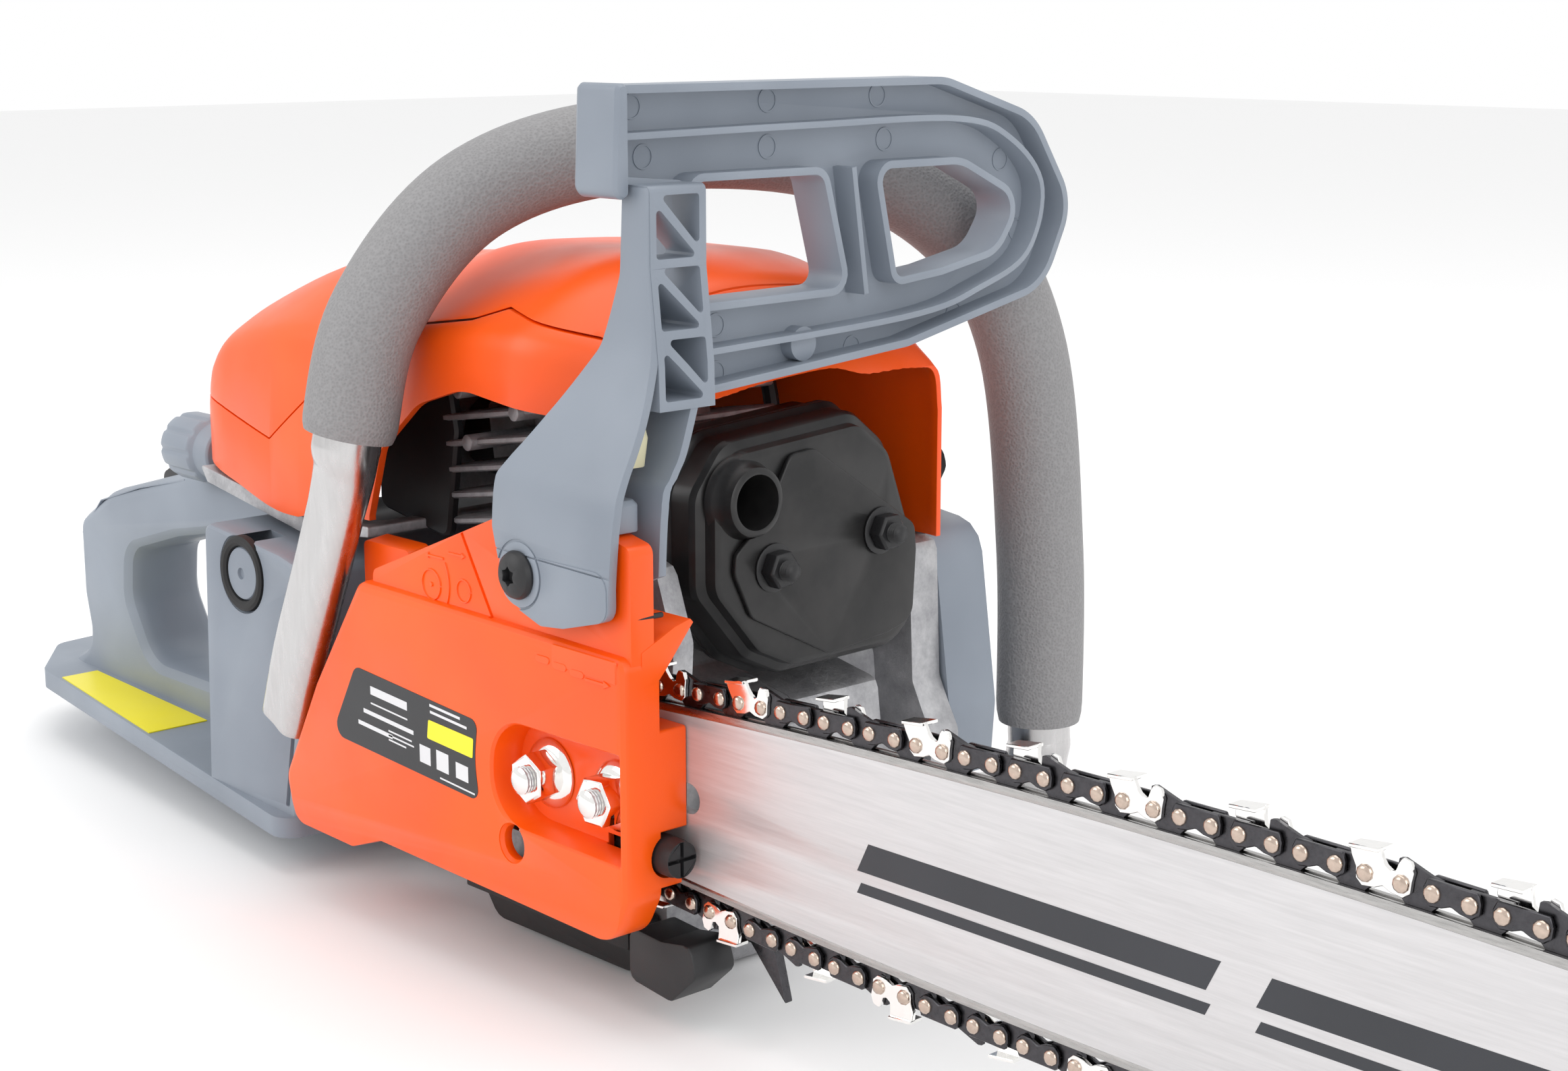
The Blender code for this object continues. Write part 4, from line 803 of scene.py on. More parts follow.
def make_bar():
    half = BAR_T / 2
    slot = prism(slot_outline(31, 88.6, BAR_Z, 4.4), "XZ", BAR_Y - 9, BAR_Y + 9)
    adjuster = cylinder((60, BAR_Y - 9, 53), (0, 1, 0), 3.4, 18, 20)
    oil_hole = cylinder((66, BAR_Y - 9, 92), (0, 1, 0), 1.2, 18, 12)
    nose_gap = cylinder((NOSE_X, BAR_Y - 0.95, BAR_Z), (0, 1, 0), NOSE_R + 9, 1.9, 60)
    rail = prism(bar_outline(RAIL_DROP), "XZ", BAR_Y - half + 0.05, BAR_Y + half - 0.05)
    groove = cut(prism(bar_outline(0.5), "XZ", BAR_Y - 0.8, BAR_Y + 0.8),
                 prism(bar_outline(RAIL_DROP + 6), "XZ", BAR_Y - 2, BAR_Y + 2))
    face = prism(bar_outline(RAIL_DROP + 2.2), "XZ", BAR_Y - half, BAR_Y + half)
    rim = cut(rail, face.copy(), groove, nose_gap.copy())
    piece("guide_bar_rails", rim, FINISH["rail"], stands_for=("guide_bar",), edge=0.15)
    hub = cylinder((NOSE_X, BAR_Y - 1.5, BAR_Z), (0, 1, 0), 6.0, 3.0, 32)
    body = join(cut(face, slot, adjuster, oil_hole, nose_gap), hub)
    piece("guide_bar_face", body, FINISH["bar"], edge=0.12)
    marks = []
    for i, (a, b) in enumerate(((150, 262), (276, 352), (366, 398))):
        for z0, z1 in ((58, 61), (64, 72)) if i < 2 else ((58, 72),):
            marks.append(prism([(a, z0), (b, z0), (b + (z1 - z0) * 0.5, z1), (a + (z1 - z0) * 0.5, z1)],
                               "XZ", BAR_Y - half - 0.06, BAR_Y - half + 0.03))
    piece("guide_bar_stripes", gather(*marks), FINISH["ink"])
    nose_rivets = [((NOSE_X + r * math.cos(a), BAR_Y, BAR_Z + r * math.sin(a)), (0, 0, 0))
                   for r, n in ((0, 1), (3.6, 4)) for a in (math.tau * k / n for k in range(n))]
    head = turned([(1.0, -half - 0.15), (1.1, -half), (1.1, half), (1.0, half + 0.15)], (0, 0, 0),
                  (0, 1, 0), 12)
    copies("guide_bar_nose_rivets", head, nose_rivets, "rail")


# ================================================================ clutch cover

COVER_FACE_Y = -65.0
COVER_BACK_Y = -52.0
PAD_BACK_Y = -42.6
UPPER_FACE_Y = -61.5
NUT_SEAT_Y = -54.6
STUD_THREADS = 12
TENSION_SCREW = (BAR_Y - 9, 53)
WALL = 2.5
GUARD_PIVOT = (40.5, 128.0)


def cover_lower():
    return rounded([(-42, 112.6, 6), (-67.6, 76, 6), (-87, 42, 8), (-83, 26, 5), (-53, 25, 4),
                    (-36, 31, 4), (76, 28, 14), (83.5, 42, 8), (83.5, 111, 4), (52, 111.5, 4)], 4, 8)


def cover_upper():
    return rounded([(-38, 106.5, 3), (-38, 116, 3), (24, 141, 3), (33, 144, 3), (66, 144.6, 3),
                    (83.3, 141, 3), (83.3, 106.5, 3)], 3, 5)


def nut_recess(grow, right):
    return rounded([(24 - grow, 83.6 + grow, 15), (right, 84 + grow, 0.8), (right, 52.4 - grow, 0.8),
                    (24 - grow, 53 - grow, 14)], 6, 10)


def emboss(outline, top_y, height=0.45):
    """Low relief standing on a face that looks to the right."""
    return stack([shrink(outline, 0.25), outline], "XZ", [top_y - height, top_y + 0.3])


def ring_outline(x, z, r, width, a0=0.0, a1=359.0):
    return arc(x, z, r, a0, a1, 40) + arc(x, z, r - width, a1, a0, 40)


def arrow(x, z, length, size, head):
    """Block arrow along x; a negative length points back."""
    s = 1 if length > 0 else -1
    return [(x, z - size), (x + length - s * head, z - size), (x + length - s * head, z - size * 2.4),
            (x + length, z), (x + length - s * head, z + size * 2.4), (x + length - s * head, z + size),
            (x, z + size)]


def make_clutch_cover():
    """Hollow shell with a stepped front, a nut recess, a pad on the bar and a sloping front ledge."""
    face, back, pad_back = COVER_FACE_Y, COVER_BACK_Y, PAD_BACK_Y
    outline = cover_lower()
    lower = stack([shrink(outline, 3.0), shrink(outline, 1.4), shrink(outline, 0.45), outline, outline],
                  "XZ", [face, face + 0.45, face + 1.4, face + 3.0, back])
    chamfer = rings_solid([[(x, face - 1, z), (x, face - 1, 14), (x, face + 4.4, 14)]
                           for x, z in ((-100, 39), (95, 49.6))])
    lower = cut(lower, chamfer)
    upper = prism(cover_upper(), "XZ", UPPER_FACE_Y, UPPER_FACE_Y + 8)
    inside = prism(shrink(outline, WALL), "XZ", face + WALL + 1.5, back + 30)
    upper_in = prism(shrink(cover_upper(), WALL), "XZ", UPPER_FACE_Y + WALL, 0)
    skirt = prism(rounded([(-67, 76, 3), (-87, 42, 5), (-83, 27, 4), (-53, 25.5, 3), (-49, 30, 3),
                           (-60, 76, 3)], 2, 5), "XZ", back - 3, -31)
    shell = cut(join(lower, upper, skirt), inside, upper_in)
    pad = prism(rounded([(26, 61), (66, 61), (70, 58), (83.5, 60.2, 0.5), (83.5, 89, 1), (26, 89)], 3, 4),
                "XZ", -57.5, pad_back)
    foot = prism(rounded([(66, 44), (83.5, 44, 0.5), (83.5, 50.6, 1), (66, 50.6)], 1.5, 4), "XZ",
                 -57.5, -44.5)
    well = prism(nut_recess(2.4, 82.6), "XZ", face + 1.5, -52.5)
    shelf_side = [(-52.5, 102), (-52, 103.4), (-49, 106.6), (-44.6, 111.8), (-39.6, 117.7), (-40.6, 118.8),
                  (-46, 117.4), (-58, 112), (-58, 102)]
    shelf = prism(shelf_side, "YZ", 56, 83.5)
    flap = stack([box_outline(-55, -31, 106, 121.5, 2, 4), box_outline(-55, -31, 106, 122.5, 2, 4)],
                 "XZ", [-53, -45.5])
    shell = join(shell, pad, foot, well, shelf, flap)
    shell = cut(shell,
                stack([nut_recess(0.9, 82.1), nut_recess(0, 81.4), nut_recess(-0.8, 78.5)], "XZ",
                      [face - 0.4, face + 0.9, -54.5]),
                *[cylinder((x, -80, BAR_Z), (0, 1, 0), 4.3, 60, 20) for x in STUD_X],
                cylinder((64, *TENSION_SCREW), (1, 0, 0), 6.4, 60, 28),
                turned([(6.4, -80), (6.0, face + 0.4), (5.2, face + 1.4), (5.2, -60), (3.0, -59.5),
                        (3.0, -40)], (33, 0, 47.8), (0, 1, 0), 28),
                cylinder((GUARD_PIVOT[0], -80, GUARD_PIVOT[1]), (0, 1, 0), 3.3, 60, 20),
                prism([(7.2, 134), (8.4, 134.6), (23.2, 110.6), (22.0, 110)], "XZ", UPPER_FACE_Y - 1,
                      UPPER_FACE_Y + 0.7))
    piece("clutch_cover_shell", shell, FINISH["orange"], stands_for=("clutch_cover",), edge=0.55)

    top = UPPER_FACE_Y
    marks = [emboss(o, top) for o in (
        ring_outline(-7.6, 116.6, 4.9, 0.8), circle(-7.6, 116.6, 0.9, 10),
        ring_outline(8.4, 117.2, 3.7, 0.8), ring_outline(-11.5, 117.5, 13.2, 0.8, -38, 32),
        arrow(-1.0, 125.2, -9.5, 0.5, 2.2), arrow(1.4, 127.4, 8.5, 0.5, 2.2))]
    marks += [emboss(o, face) for o in (arrow(68, 103.2, 11, 0.6, 3.2),)]
    marks += [emboss(slot_outline(46 + i * 7.6, 52.4 + i * 7.6, 105.2 - i * 0.6, 1.2, 6), face, 0.35)
              for i in range(3)]
    ledge = rounded([(53, 104.4, 0.6), (53, 110.8, 1), (81.2, 110.6, 1), (81.2, 103.6, 0.6)], 1, 3)
    piece("clutch_cover_relief", gather(*marks, emboss(shrink(ledge, 0.2), face, 0.2)), FINISH["orange"])


def make_cover_label():
    """Dark film with a yellow field and plain rules in place of print."""
    y = COVER_FACE_Y
    film = rounded([(-44, 85.5, 4), (18, 80.9, 3), (16.2, 69, 30), (18, 56.8, 3), (-57.7, 61.5, 4)], 3, 6)
    piece("cover_label_film", prism(film, "XZ", y - 0.12, y + 0.2), FINISH["label"])
    field = rounded([(-6.2, 76.4), (15.9, 75.2), (15.3, 69.2), (-7, 70.6)], 0.5, 2)
    piece("cover_label_field", prism(field, "XZ", y - 0.2, y), FINISH["label_yellow"])
    rules = []
    for x0, z0, length, thick in ((-36, 78.2, 19, 2.6), (-36, 75.2, 19, 0.5), (-40, 71.8, 26, 1.3),
                                  (-43, 67.6, 18, 1.3), (-27, 68.4, 12, 0.5), (-27, 67.0, 13, 0.5),
                                  (-27, 65.6, 9, 0.5), (-5.4, 80.6, 15, 0.8), (-5.2, 78.6, 18, 0.8),
                                  (-1, 59.4, 17, 0.5), (-11, 62.6, 5.4, 5.4), (-2.6, 62, 6, 6),
                                  (7, 61.6, 6, 4.8)):
        slope = -0.07 * length
        rules.append(prism([(x0, z0), (x0 + length, z0 + slope), (x0 + length, z0 + slope + thick),
                            (x0, z0 + thick)], "XZ", y - 0.19, y - 0.05))
    piece("cover_label_rules", gather(*rules), FINISH["label_white"])


def make_cover_fasteners():
    """Flange nuts, stud threads, the chain tension screw's head and the end of the brake wire."""
    nut = gather(turned([(4.2, -9.8), (6.6, -9.8), (7.5, -9.2), (7.5, -1.6), (4.2, -1.6)], (0, 0, 0),
                        (0, 1, 0), 6),
                 turned([(4.2, -2.6), (7.0, -2.6), (8.6, -1.9), (10.2, -0.9), (10.2, 0), (4.2, 0)],
                        (0, 0, 0), (0, 1, 0), 40))
    spots = [((x, NUT_SEAT_Y, BAR_Z), (0, 0.25 + 0.5 * i, 0)) for i, x in enumerate(STUD_X)]
    copies("bar_nuts", nut, spots, "chrome", stands_for=("bar_nut_rear", "bar_nut_front"), edge=0.2)
    profile = [(2.9, -12.4), (3.6, -11.9)]
    for turn in range(STUD_THREADS):
        profile += [(4.05, turn - 11.7), (3.6, turn - 11.2)]
    copies("bar_stud_threads", turned(profile, (0, 0, 0), (0, 1, 0), 20), spots, "chrome", sharp=50)
    shaft = turned([(2.9, 50), (2.9, 76), (5.4, 76), (5.6, 77), (5.6, 86.4), (5.2, 87.2), (5.2, 89)],
                   (0, *TENSION_SCREW), (1, 0, 0), 30)
    flat_slot = prism(box_outline(-54, -44, 52.4, 53.6), "YZ", 87, 90)
    tall_slot = prism(box_outline(-49.6, -48.4, 48, 58), "YZ", 87, 90.01)
    piece("tension_screw_head", cut(shaft, flat_slot, tall_slot), FINISH["black"], "tension_screw",
          ("tension_screw",), edge=0.25)
    rod = cylinder((82.5, -60.5, 121.4), (0.02, 1, 0), 0.8, 10.5, 12)
    piece("brake_wire_end", rod, FINISH["black"], edge=0.2)


# ================================================================ hand guard

HOOP = [(-51, 262, 3), (75, 262, 26), (115, 250, 22), (134, 222, 16), (121, 196, 20), (60, 183, 20),
        (-28, 176, 6), (-28, 234, 3), (-51, 236, 4)]
SQUARE_WINDOW = [(-25, 235.5), (24.4, 235.5), (33.4, 202.7), (-25, 202)]
ROUND_WINDOW = [(47.5, 236, 4), (82, 236, 18), (108, 224, 12), (98, 210, 12), (74, 205.5, 10),
                (55, 203.7, 3)]
GUARD_SIDE = [(34, 121, 8), (28, 140, 4), (28, 155, 4), (41, 172, 10), (58, 192, 10), (65, 212, 8),
              (66, 236, 2), (77, 236, 2), (77, 214, 8), (80, 188, 10), (81, 150, 6), (79, 121, 4),
              (50, 115, 10)]
# height, rear x, near face y
CHEEK = [(118, 33, -66), (134, 28.5, -66), (150, 28.5, -65), (158, 31, -62.5), (166, 37, -58.5),
         (174, 44, -55), (184, 53, -52), (196, 60, -49.6), (212, 65, -48.8), (235.5, 66, -48.4)]
# height, near face y of the inner wall
INNER_WALL = [(116, -48), (150, -48), (158, -44.5), (164, -41), (178, -36)]
LONG_RIB = [(-51, 248.5), (20, 249.5), (80, 249.6), (104, 243), (119, 228), (113, 208), (92, 198.5),
            (60, 192), (-29, 188)]
HOOP_BACK, HOOP_FACE = 54.0, 68.0
HOOP_FLOOR = 60.0
GUARD_WALL = 2.2


def wall_strip(points, half, x0, x1):
    """Thin rib of constant width following a line in the hoop's plane."""
    left, right = [], []
    pts = [Vector(p) for p in points]
    for i, p in enumerate(pts):
        t = (pts[min(i + 1, len(pts) - 1)] - pts[max(i - 1, 0)]).normalized()
        n = Vector((-t.y, t.x))
        left.append(tuple(p + n * half))
        right.append(tuple(p - n * half))
    return prism(left + right[::-1], "YZ", x0, x1)


def smooth_line(points, count):
    line = curve_points([(0, y, z) for y, z in points], count)
    return [(p.y, p.z) for p in line]


def smooth_table(rows, count):
    """Rows of a height table filled in on a smooth curve."""
    return [tuple(p) for p in curve_points([(*row, 0)[:3] for row in rows], count)]


def make_hand_guard():
    """Chain brake lever: a channelled hoop over a ribbed post and two side walls."""
    hoop = rounded(HOOP, 6, 10)
    square, eye = rounded(SQUARE_WINDOW, 4, 5), rounded(ROUND_WINDOW, 6, 7)
    channel = cut(prism(shrink(hoop, GUARD_WALL), "YZ", HOOP_FLOOR, HOOP_FACE + 4),
                  prism(shrink(square, -GUARD_WALL), "YZ", 50, 90),
                  prism(shrink(eye, -GUARD_WALL), "YZ", 50, 90),
                  wall_strip(smooth_line(LONG_RIB, 60), 0.9, 50, 90),
                  wall_strip([(36.8, 237), (42.2, 200)], 0.9, 50, 90))
    frame_body = cut(prism(hoop, "YZ", HOOP_BACK, HOOP_FACE), prism(square, "YZ", 30, 90),
                     prism(eye, "YZ", 30, 90), channel)
    boss = cylinder((HOOP_FLOOR - 1, 20, 187), (1, 0, 0), 5.0, 5.6, 28)
    flange = stack([shrink(rounded([(-54.5, 233, 8), (-49, 231.5, 4), (-49, 262.6, 3), (-53, 262.6, 6)],
                                   3, 5), d) for d in (0.8, 0, 0, 0.8)], "YZ", [52.6, 54, 69.2, 70.4])

    side = rounded(GUARD_SIDE, 5, 8)
    post = common(prism(side, "XZ", -48, -28.2),
                  prism([(0, 176), (120, 176), (120, 250), (0, 250)], "XZ", -60, 0))
    pockets = []
    for z0, z1 in ((178.5, 195), (197.4, 214), (216.4, 233.4)):
        pockets.append(prism(rounded([(-45.8, z0), (-31, z0), (-45.8, z1 - 2.6)], 1.0, 3), "YZ", 62, 90))
        pockets.append(prism(rounded([(-30.6, z0 + 2.6), (-30.6, z1), (-44.6, z1)], 1.0, 3), "YZ", 62, 90))
    post = cut(post, *pockets)
    rows = smooth_table(CHEEK, 34)
    cheek = stack([[(x - 8, y), (90, y + 0.2), (90, y + 2.8), (x - 8, y + 2.8)] for z, x, y in rows],
                  "XY", [row[0] for row in rows])
    rows = smooth_table(INNER_WALL, 20)
    inner = stack([[(20, y), (90, y), (90, y + 2.6), (20, y + 2.6)] for z, y, _ in rows],
                  "XY", [row[0] for row in rows])
    inner = common(inner, prism(shrink(side, 0.4), "XZ", -60, -20))
    swept = [(46, 110), (50, 117), (57, 121.5), (82, 132), (95, 132), (95, 110)]
    inner = cut(inner, prism(swept, "XZ", -60, -20))
    cheek = common(cheek, prism(shrink(side, 0.2), "XZ", -70, -40))
    lobe = prism(rounded([(31, 134), (78.6, 134), (78.6, 121), (60, 116), (50, 115), (34, 120)], 5, 7),
                 "XZ", -66.2, -62.6)
    body = join(post, cheek, lobe, frame_body, inner, boss, flange)
    body = cut(body, cylinder((GUARD_PIVOT[0], -80, GUARD_PIVOT[1]), (0, 1, 0), 3.6, 45, 24),
               ring_solid([(9.2, -66.6), (10.0, -66.6), (10.0, -65.5), (9.2, -65.5)],
                          (GUARD_PIVOT[0], 0, GUARD_PIVOT[1]), (0, 1, 0), 40),
               prism([(20, 134.0), (90, 132.4), (90, 132.9), (20, 134.5)], "XZ", -67, -65.7))
    piece("hand_guard_moulding", body, FINISH["grey"], "hand_guard", ("hand_guard",), edge=0.6)
    marks = [((HOOP_FLOOR, y, z), (0, 0, 0)) for y, z in
             ((-40, 256), (10, 256.5), (54, 256.8), (-36, 242.5), (10, 243.5), (57, 244), (108, 236),
              (116, 214), (88, 190), (44, 183.5), (-10, 194.5), (-10, 181))]
    ring = ring_solid([(3.0, -0.1), (3.5, -0.1), (3.5, 0.25), (3.0, 0.25)], (0, 0, 0), (1, 0, 0), 20)
    copies("hand_guard_pin_marks", ring, marks, "grey", "hand_guard")
    stop_block = stack([box_outline(66, 76, -60.5, -51.5, 2, 3), box_outline(66, 76, -60.5, -51.5, 2, 3),
                        box_outline(67, 75, -59.5, -52.5, 2, 3)], "XY", [143.6, 151, 152.4])
    piece("brake_stop_block", stop_block, FINISH["grey"], "hand_guard", edge=0.3)
    catch = stack([box_outline(62, 72, -53.5, -45.8, 1.5, 3), box_outline(61, 73, -54, -45, 2, 3),
                   box_outline(63, 70, -52, -46, 1.5, 3)], "XY", [160, 168, 178.5])
    piece("brake_spring_catch", catch, FINISH["cream"], "hand_guard", edge=0.4)

    star = [(r * math.cos(a), r * math.sin(a)) for r, a in
            ((2.9 if k % 2 else 2.1, math.tau * k / 12) for k in range(12))]
    socket = prism([(GUARD_PIVOT[0] + u, GUARD_PIVOT[1] + v) for u, v in star], "XZ", -72, -67.6)
    screw = turned([(3.1, -44), (3.1, -66.2), (6.8, -66.2), (7.0, -67.0), (6.4, -68.4), (4.8, -69.6),
                    (2.4, -70)], (GUARD_PIVOT[0], 0, GUARD_PIVOT[1]), (0, 1, 0), 40)
    piece("guard_pivot_button_screw", cut(screw, socket), FINISH["black"],
          stands_for=("guard_pivot_screw",), edge=0.25)


# ================================================================ front handle

TUBE_R, SLEEVE_R = 10.5, 14.5
LEG_RIGHT = [(-91, -60, 58), (-80, -61.5, 82), (-66, -61.5, 112), (-54, -60.5, 142)]
GRIPPED = [(-50.7, -60, 156), (-46.9, -51, 192), (-34.4, -24.5, 226), (-14, 17, 240.4),
           (12, 76, 237.5), (32.5, 118, 214), (42.5, 139.5, 174), (45.8, 147, 105), (46.3, 147.8, 46)]
LEG_LEFT = [(46.4, 147.6, 36), (42, 144.5, 20), (22, 138, 13), (-20, 136, 12), (-70, 134, 13),
            (-100, 128, 18), (-115, 112, 25), (-119, 98, 29.5), (-119, 89, 30)]


def make_front_handle():
    """Bent alloy tube, pressed flat with a crease down its right leg, under a moulded sleeve."""
    path = curve_points(LEG_RIGHT + GRIPPED[:1] + GRIPPED[1:] + LEG_LEFT, 260)
    rows = frames(path)
    first = min(range(len(path)), key=lambda i: (path[i] - Vector(GRIPPED[0])).length)
    last = min(range(len(path)), key=lambda i: (path[i] - Vector(GRIPPED[-1])).length)
    sides = 40
    rings = []
    for i, (p, t, n, b) in enumerate(rows):
        pressed = max(0.0, min(1.0, (first - 3 - i) / 14))
        outward = Vector((0, -1, 0))
        outward = (outward - t * outward.dot(t)).normalized()
        across = t.cross(outward)
        ring = []
        for k in range(sides):
            a = math.tau * k / sides
            r = TUBE_R
            u, v = r * math.cos(a), r * math.sin(a)
            if pressed:
                u *= 1 - 0.24 * pressed
                crease = max(0.0, math.cos(a)) ** 6 * 2.2 * pressed
                u -= crease
            ring.append(p + outward * u + across * v)
        rings.append(ring)
    piece("front_handle_tube", rings_solid(rings), FINISH["polished"], stands_for=("front_handle",),
          edge=0.6, sharp=40, limit=50)
    rings = []
    cover = rows[first:last + 1]
    for i, (p, t, n, b) in enumerate(cover):
        ends = min(i, len(cover) - 1 - i)
        r = SLEEVE_R - (0.9 if ends == 0 else 0.25 if ends == 1 else 0.0)
        rings.append([p + (n * math.cos(math.tau * k / 48) + b * math.sin(math.tau * k / 48)) * r
                      for k in range(48)])
    inner = [[p + (n * math.cos(math.tau * k / 48) + b * math.sin(math.tau * k / 48)) * (TUBE_R + 0.3)
              for k in range(48)] for p, t, n, b in (cover[-1], cover[-1])]
    inner[1] = [q + (cover[-2][0] - cover[-1][0]).normalized() * 4 for q in inner[1]]
    start = [[p + (n * math.cos(math.tau * k / 48) + b * math.sin(math.tau * k / 48)) * (TUBE_R + 0.3)
              for k in range(48)] for p, t, n, b in (cover[0], cover[0])]
    start[0] = [q + (cover[1][0] - cover[0][0]).normalized() * 4 for q in start[0]]
    piece("grip_sleeve_moulding", rings_solid(start + rings + inner), FINISH["grip"],
          stands_for=("grip_sleeve",), sharp=50)


# ================================================================ hood

HOOD = [
    (-182, 129, 156, 164, -28, 76, 150), (-177, 128, 163, 176, -33, 82, 156),
    (-159, 125, 174, 190, -37, 87, 166), (-120, 118, 182, 201, -39, 91, 177),
    (-80, 118, 184, 203, -38, 93, 182), (-45, 118, 189, 210, -38, 94.5, 186),
    (0, 118, 190, 210, -38, 94.5, 186), (28, 118, 186, 203, -28, 94.5, 184),
    (45, 118, 172, 184, -22, 94.5, 174), (51, 118, 168, 175, -19, 93, 171),
]
HOOD_SEAM = [(-215, 157), (-163, 149.5), (-130, 142.5), (-108, 157.5), (-100, 163.5), (-60, 186),
             (-45, 188), (-24, 191), (-12, 195), (24, 189), (31, 187), (33, 240), (-215, 240)]


def smooth_rows(rows, count):
    """Rows between the given cross-sections, on a curve that doesn't overshoot."""
    xs = [row[0] for row in rows]
    out = []
    for i in range(count):
        x = xs[0] + (xs[-1] - xs[0]) * i / (count - 1)
        k = max(j for j in range(len(xs) - 1) if xs[j] <= x + 1e-6)
        h = xs[k + 1] - xs[k]
        t = (x - xs[k]) / h

        def slope(j, c):
            if j <= 0 or j >= len(xs) - 1:
                j0, j1 = max(j - 1, 0), min(j + 1, len(xs) - 1)
                return (rows[j1][c] - rows[j0][c]) / (xs[j1] - xs[j0])
            a = (rows[j][c] - rows[j - 1][c]) / (xs[j] - xs[j - 1])
            b = (rows[j + 1][c] - rows[j][c]) / (xs[j + 1] - xs[j])
            return 0.0 if a * b <= 0 else 2 * a * b / (a + b)

        row = [x]
        for c in range(1, len(rows[0])):
            p, q = rows[k][c], rows[k + 1][c]
            m0, m1 = slope(k, c) * h, slope(k + 1, c) * h
            row.append((2 * t ** 3 - 3 * t ** 2 + 1) * p + (t ** 3 - 2 * t ** 2 + t) * m0
                       + (3 * t ** 2 - 2 * t ** 3) * q + (t ** 3 - t ** 2) * m1)
        out.append(tuple(row))
    return out


def hood_ring(x, low, near_z, top, near_y, far_y, far_z, inset=0.0, drop=0.0):
    """One cross-section of the hood through a smooth crown."""
    ny, fy = near_y + inset, far_y - inset
    nz, fz, tz = near_z - inset * 0.6, far_z - inset * 0.6, top - inset
    mid = ny + 22
    crown = [(ny, nz - 14), (ny + 1.5, nz - 4), (ny + 7, nz + 2), (mid, nz + (tz - nz) * 0.62),
             (mid + 18, tz - 1), (mid + 40, tz), (fy - 30, tz - 3), (fy - 10, fz + (tz - fz) * 0.45),
             (fy - 2, fz), (fy, fz - 12)]
    line = curve_points([(x, y, z) for y, z in crown], 46)
    return [Vector((x, ny, low - drop))] + line + [Vector((x, fy, low - drop))]


def hood_window(grow=0.0):
    pts = [(-74 - grow, 100, 0), (-74 - grow, 124, 1), (-66 - grow, 147 + grow * 0.6, 8),
           (-46, 163 + grow, 20), (-23, 170 + grow, 30), (14, 166 + grow, 20), (70, 158 + grow, 0),
           (70, 100, 0)]
    return rounded(pts, 3, 10)


def hood_mouth():
    return rounded([(-40, 90, 0), (-40, 165, 4), (-17, 168, 3), (-8, 165, 4), (21, 171, 10),
                    (60, 171, 10), (82, 167, 8), (90, 112, 3), (90, 90, 0)], 3, 6)


def make_hood():
    rows = smooth_rows(HOOD, 64)
    outer = rings_solid([hood_ring(*row) for row in rows])
    inner = []
    for i, row in enumerate(rows):
        x = row[0] + (WALL if i == 0 else 0) + (4 if i == len(rows) - 1 else 0)
        inner.append(hood_ring(x, *row[1:], inset=WALL, drop=12))
    hollow = rings_solid(inner)
    shell = cut(outer, hollow,
                prism(hood_window(), "XZ", -60, 10),
                prism(hood_mouth(), "YZ", 40, 80),
                cylinder((-196, 58, 137), (1, 0, 0), 2.8, 22, 20),
                prism([(28, 150), (60, 150), (60, 184), (47, 184), (34, 164)], "XZ", -45, -10.5),
                prism([(-140, 100), (-118, 117), (-97, 122.5), (-60, 122.5), (-60, 100)], "XZ", -60, 120))
    seam = prism(HOOD_SEAM, "XZ", -80, 140)
    lower_seam = [(x - (0.5 if i > 8 and i < 12 else 0), z - 0.7) if i < 10 else (x + 0.7, z)
                  for i, (x, z) in enumerate(HOOD_SEAM)]
    upper = common(shell.copy(), seam)
    lower = cut(shell, prism(lower_seam, "XZ", -90, 150))
    piece("top_cover_shell", lower, FINISH["orange"], stands_for=("top_cover",), edge=0.6, sharp=28,
          limit=35)
    piece("filter_cover_shell", upper, FINISH["orange"], stands_for=("filter_cover",), edge=0.6,
          sharp=28, limit=35)


# ================================================================ silencer

MUFFLER_BACK, MUFFLER_SEAM, MUFFLER_FACE = 26.0, 41.0, 59.0
OUTLET = (2.5, 142.5)
MUFFLER_BOLTS = ((11.5, 121.5), (56.0, 126.5))
MUFFLER_CENTRE = (32.0, 124.0)


def muffler_outline(inset=0.0):
    """Front view of the silencer box, (left, up)."""
    pts = [(-15.6, 115), (-15.6, 146), (-4, 161), (52, 165), (66, 154), (79, 119), (79, 92),
           (70, 85), (20, 84.5), (4, 92)]
    scale = 1 - inset / 42.0
    cx, cz = MUFFLER_CENTRE
    return rounded([(cx + (y - cx) * scale, cz + (z - cz) * scale) for y, z in pts], 9, 8)


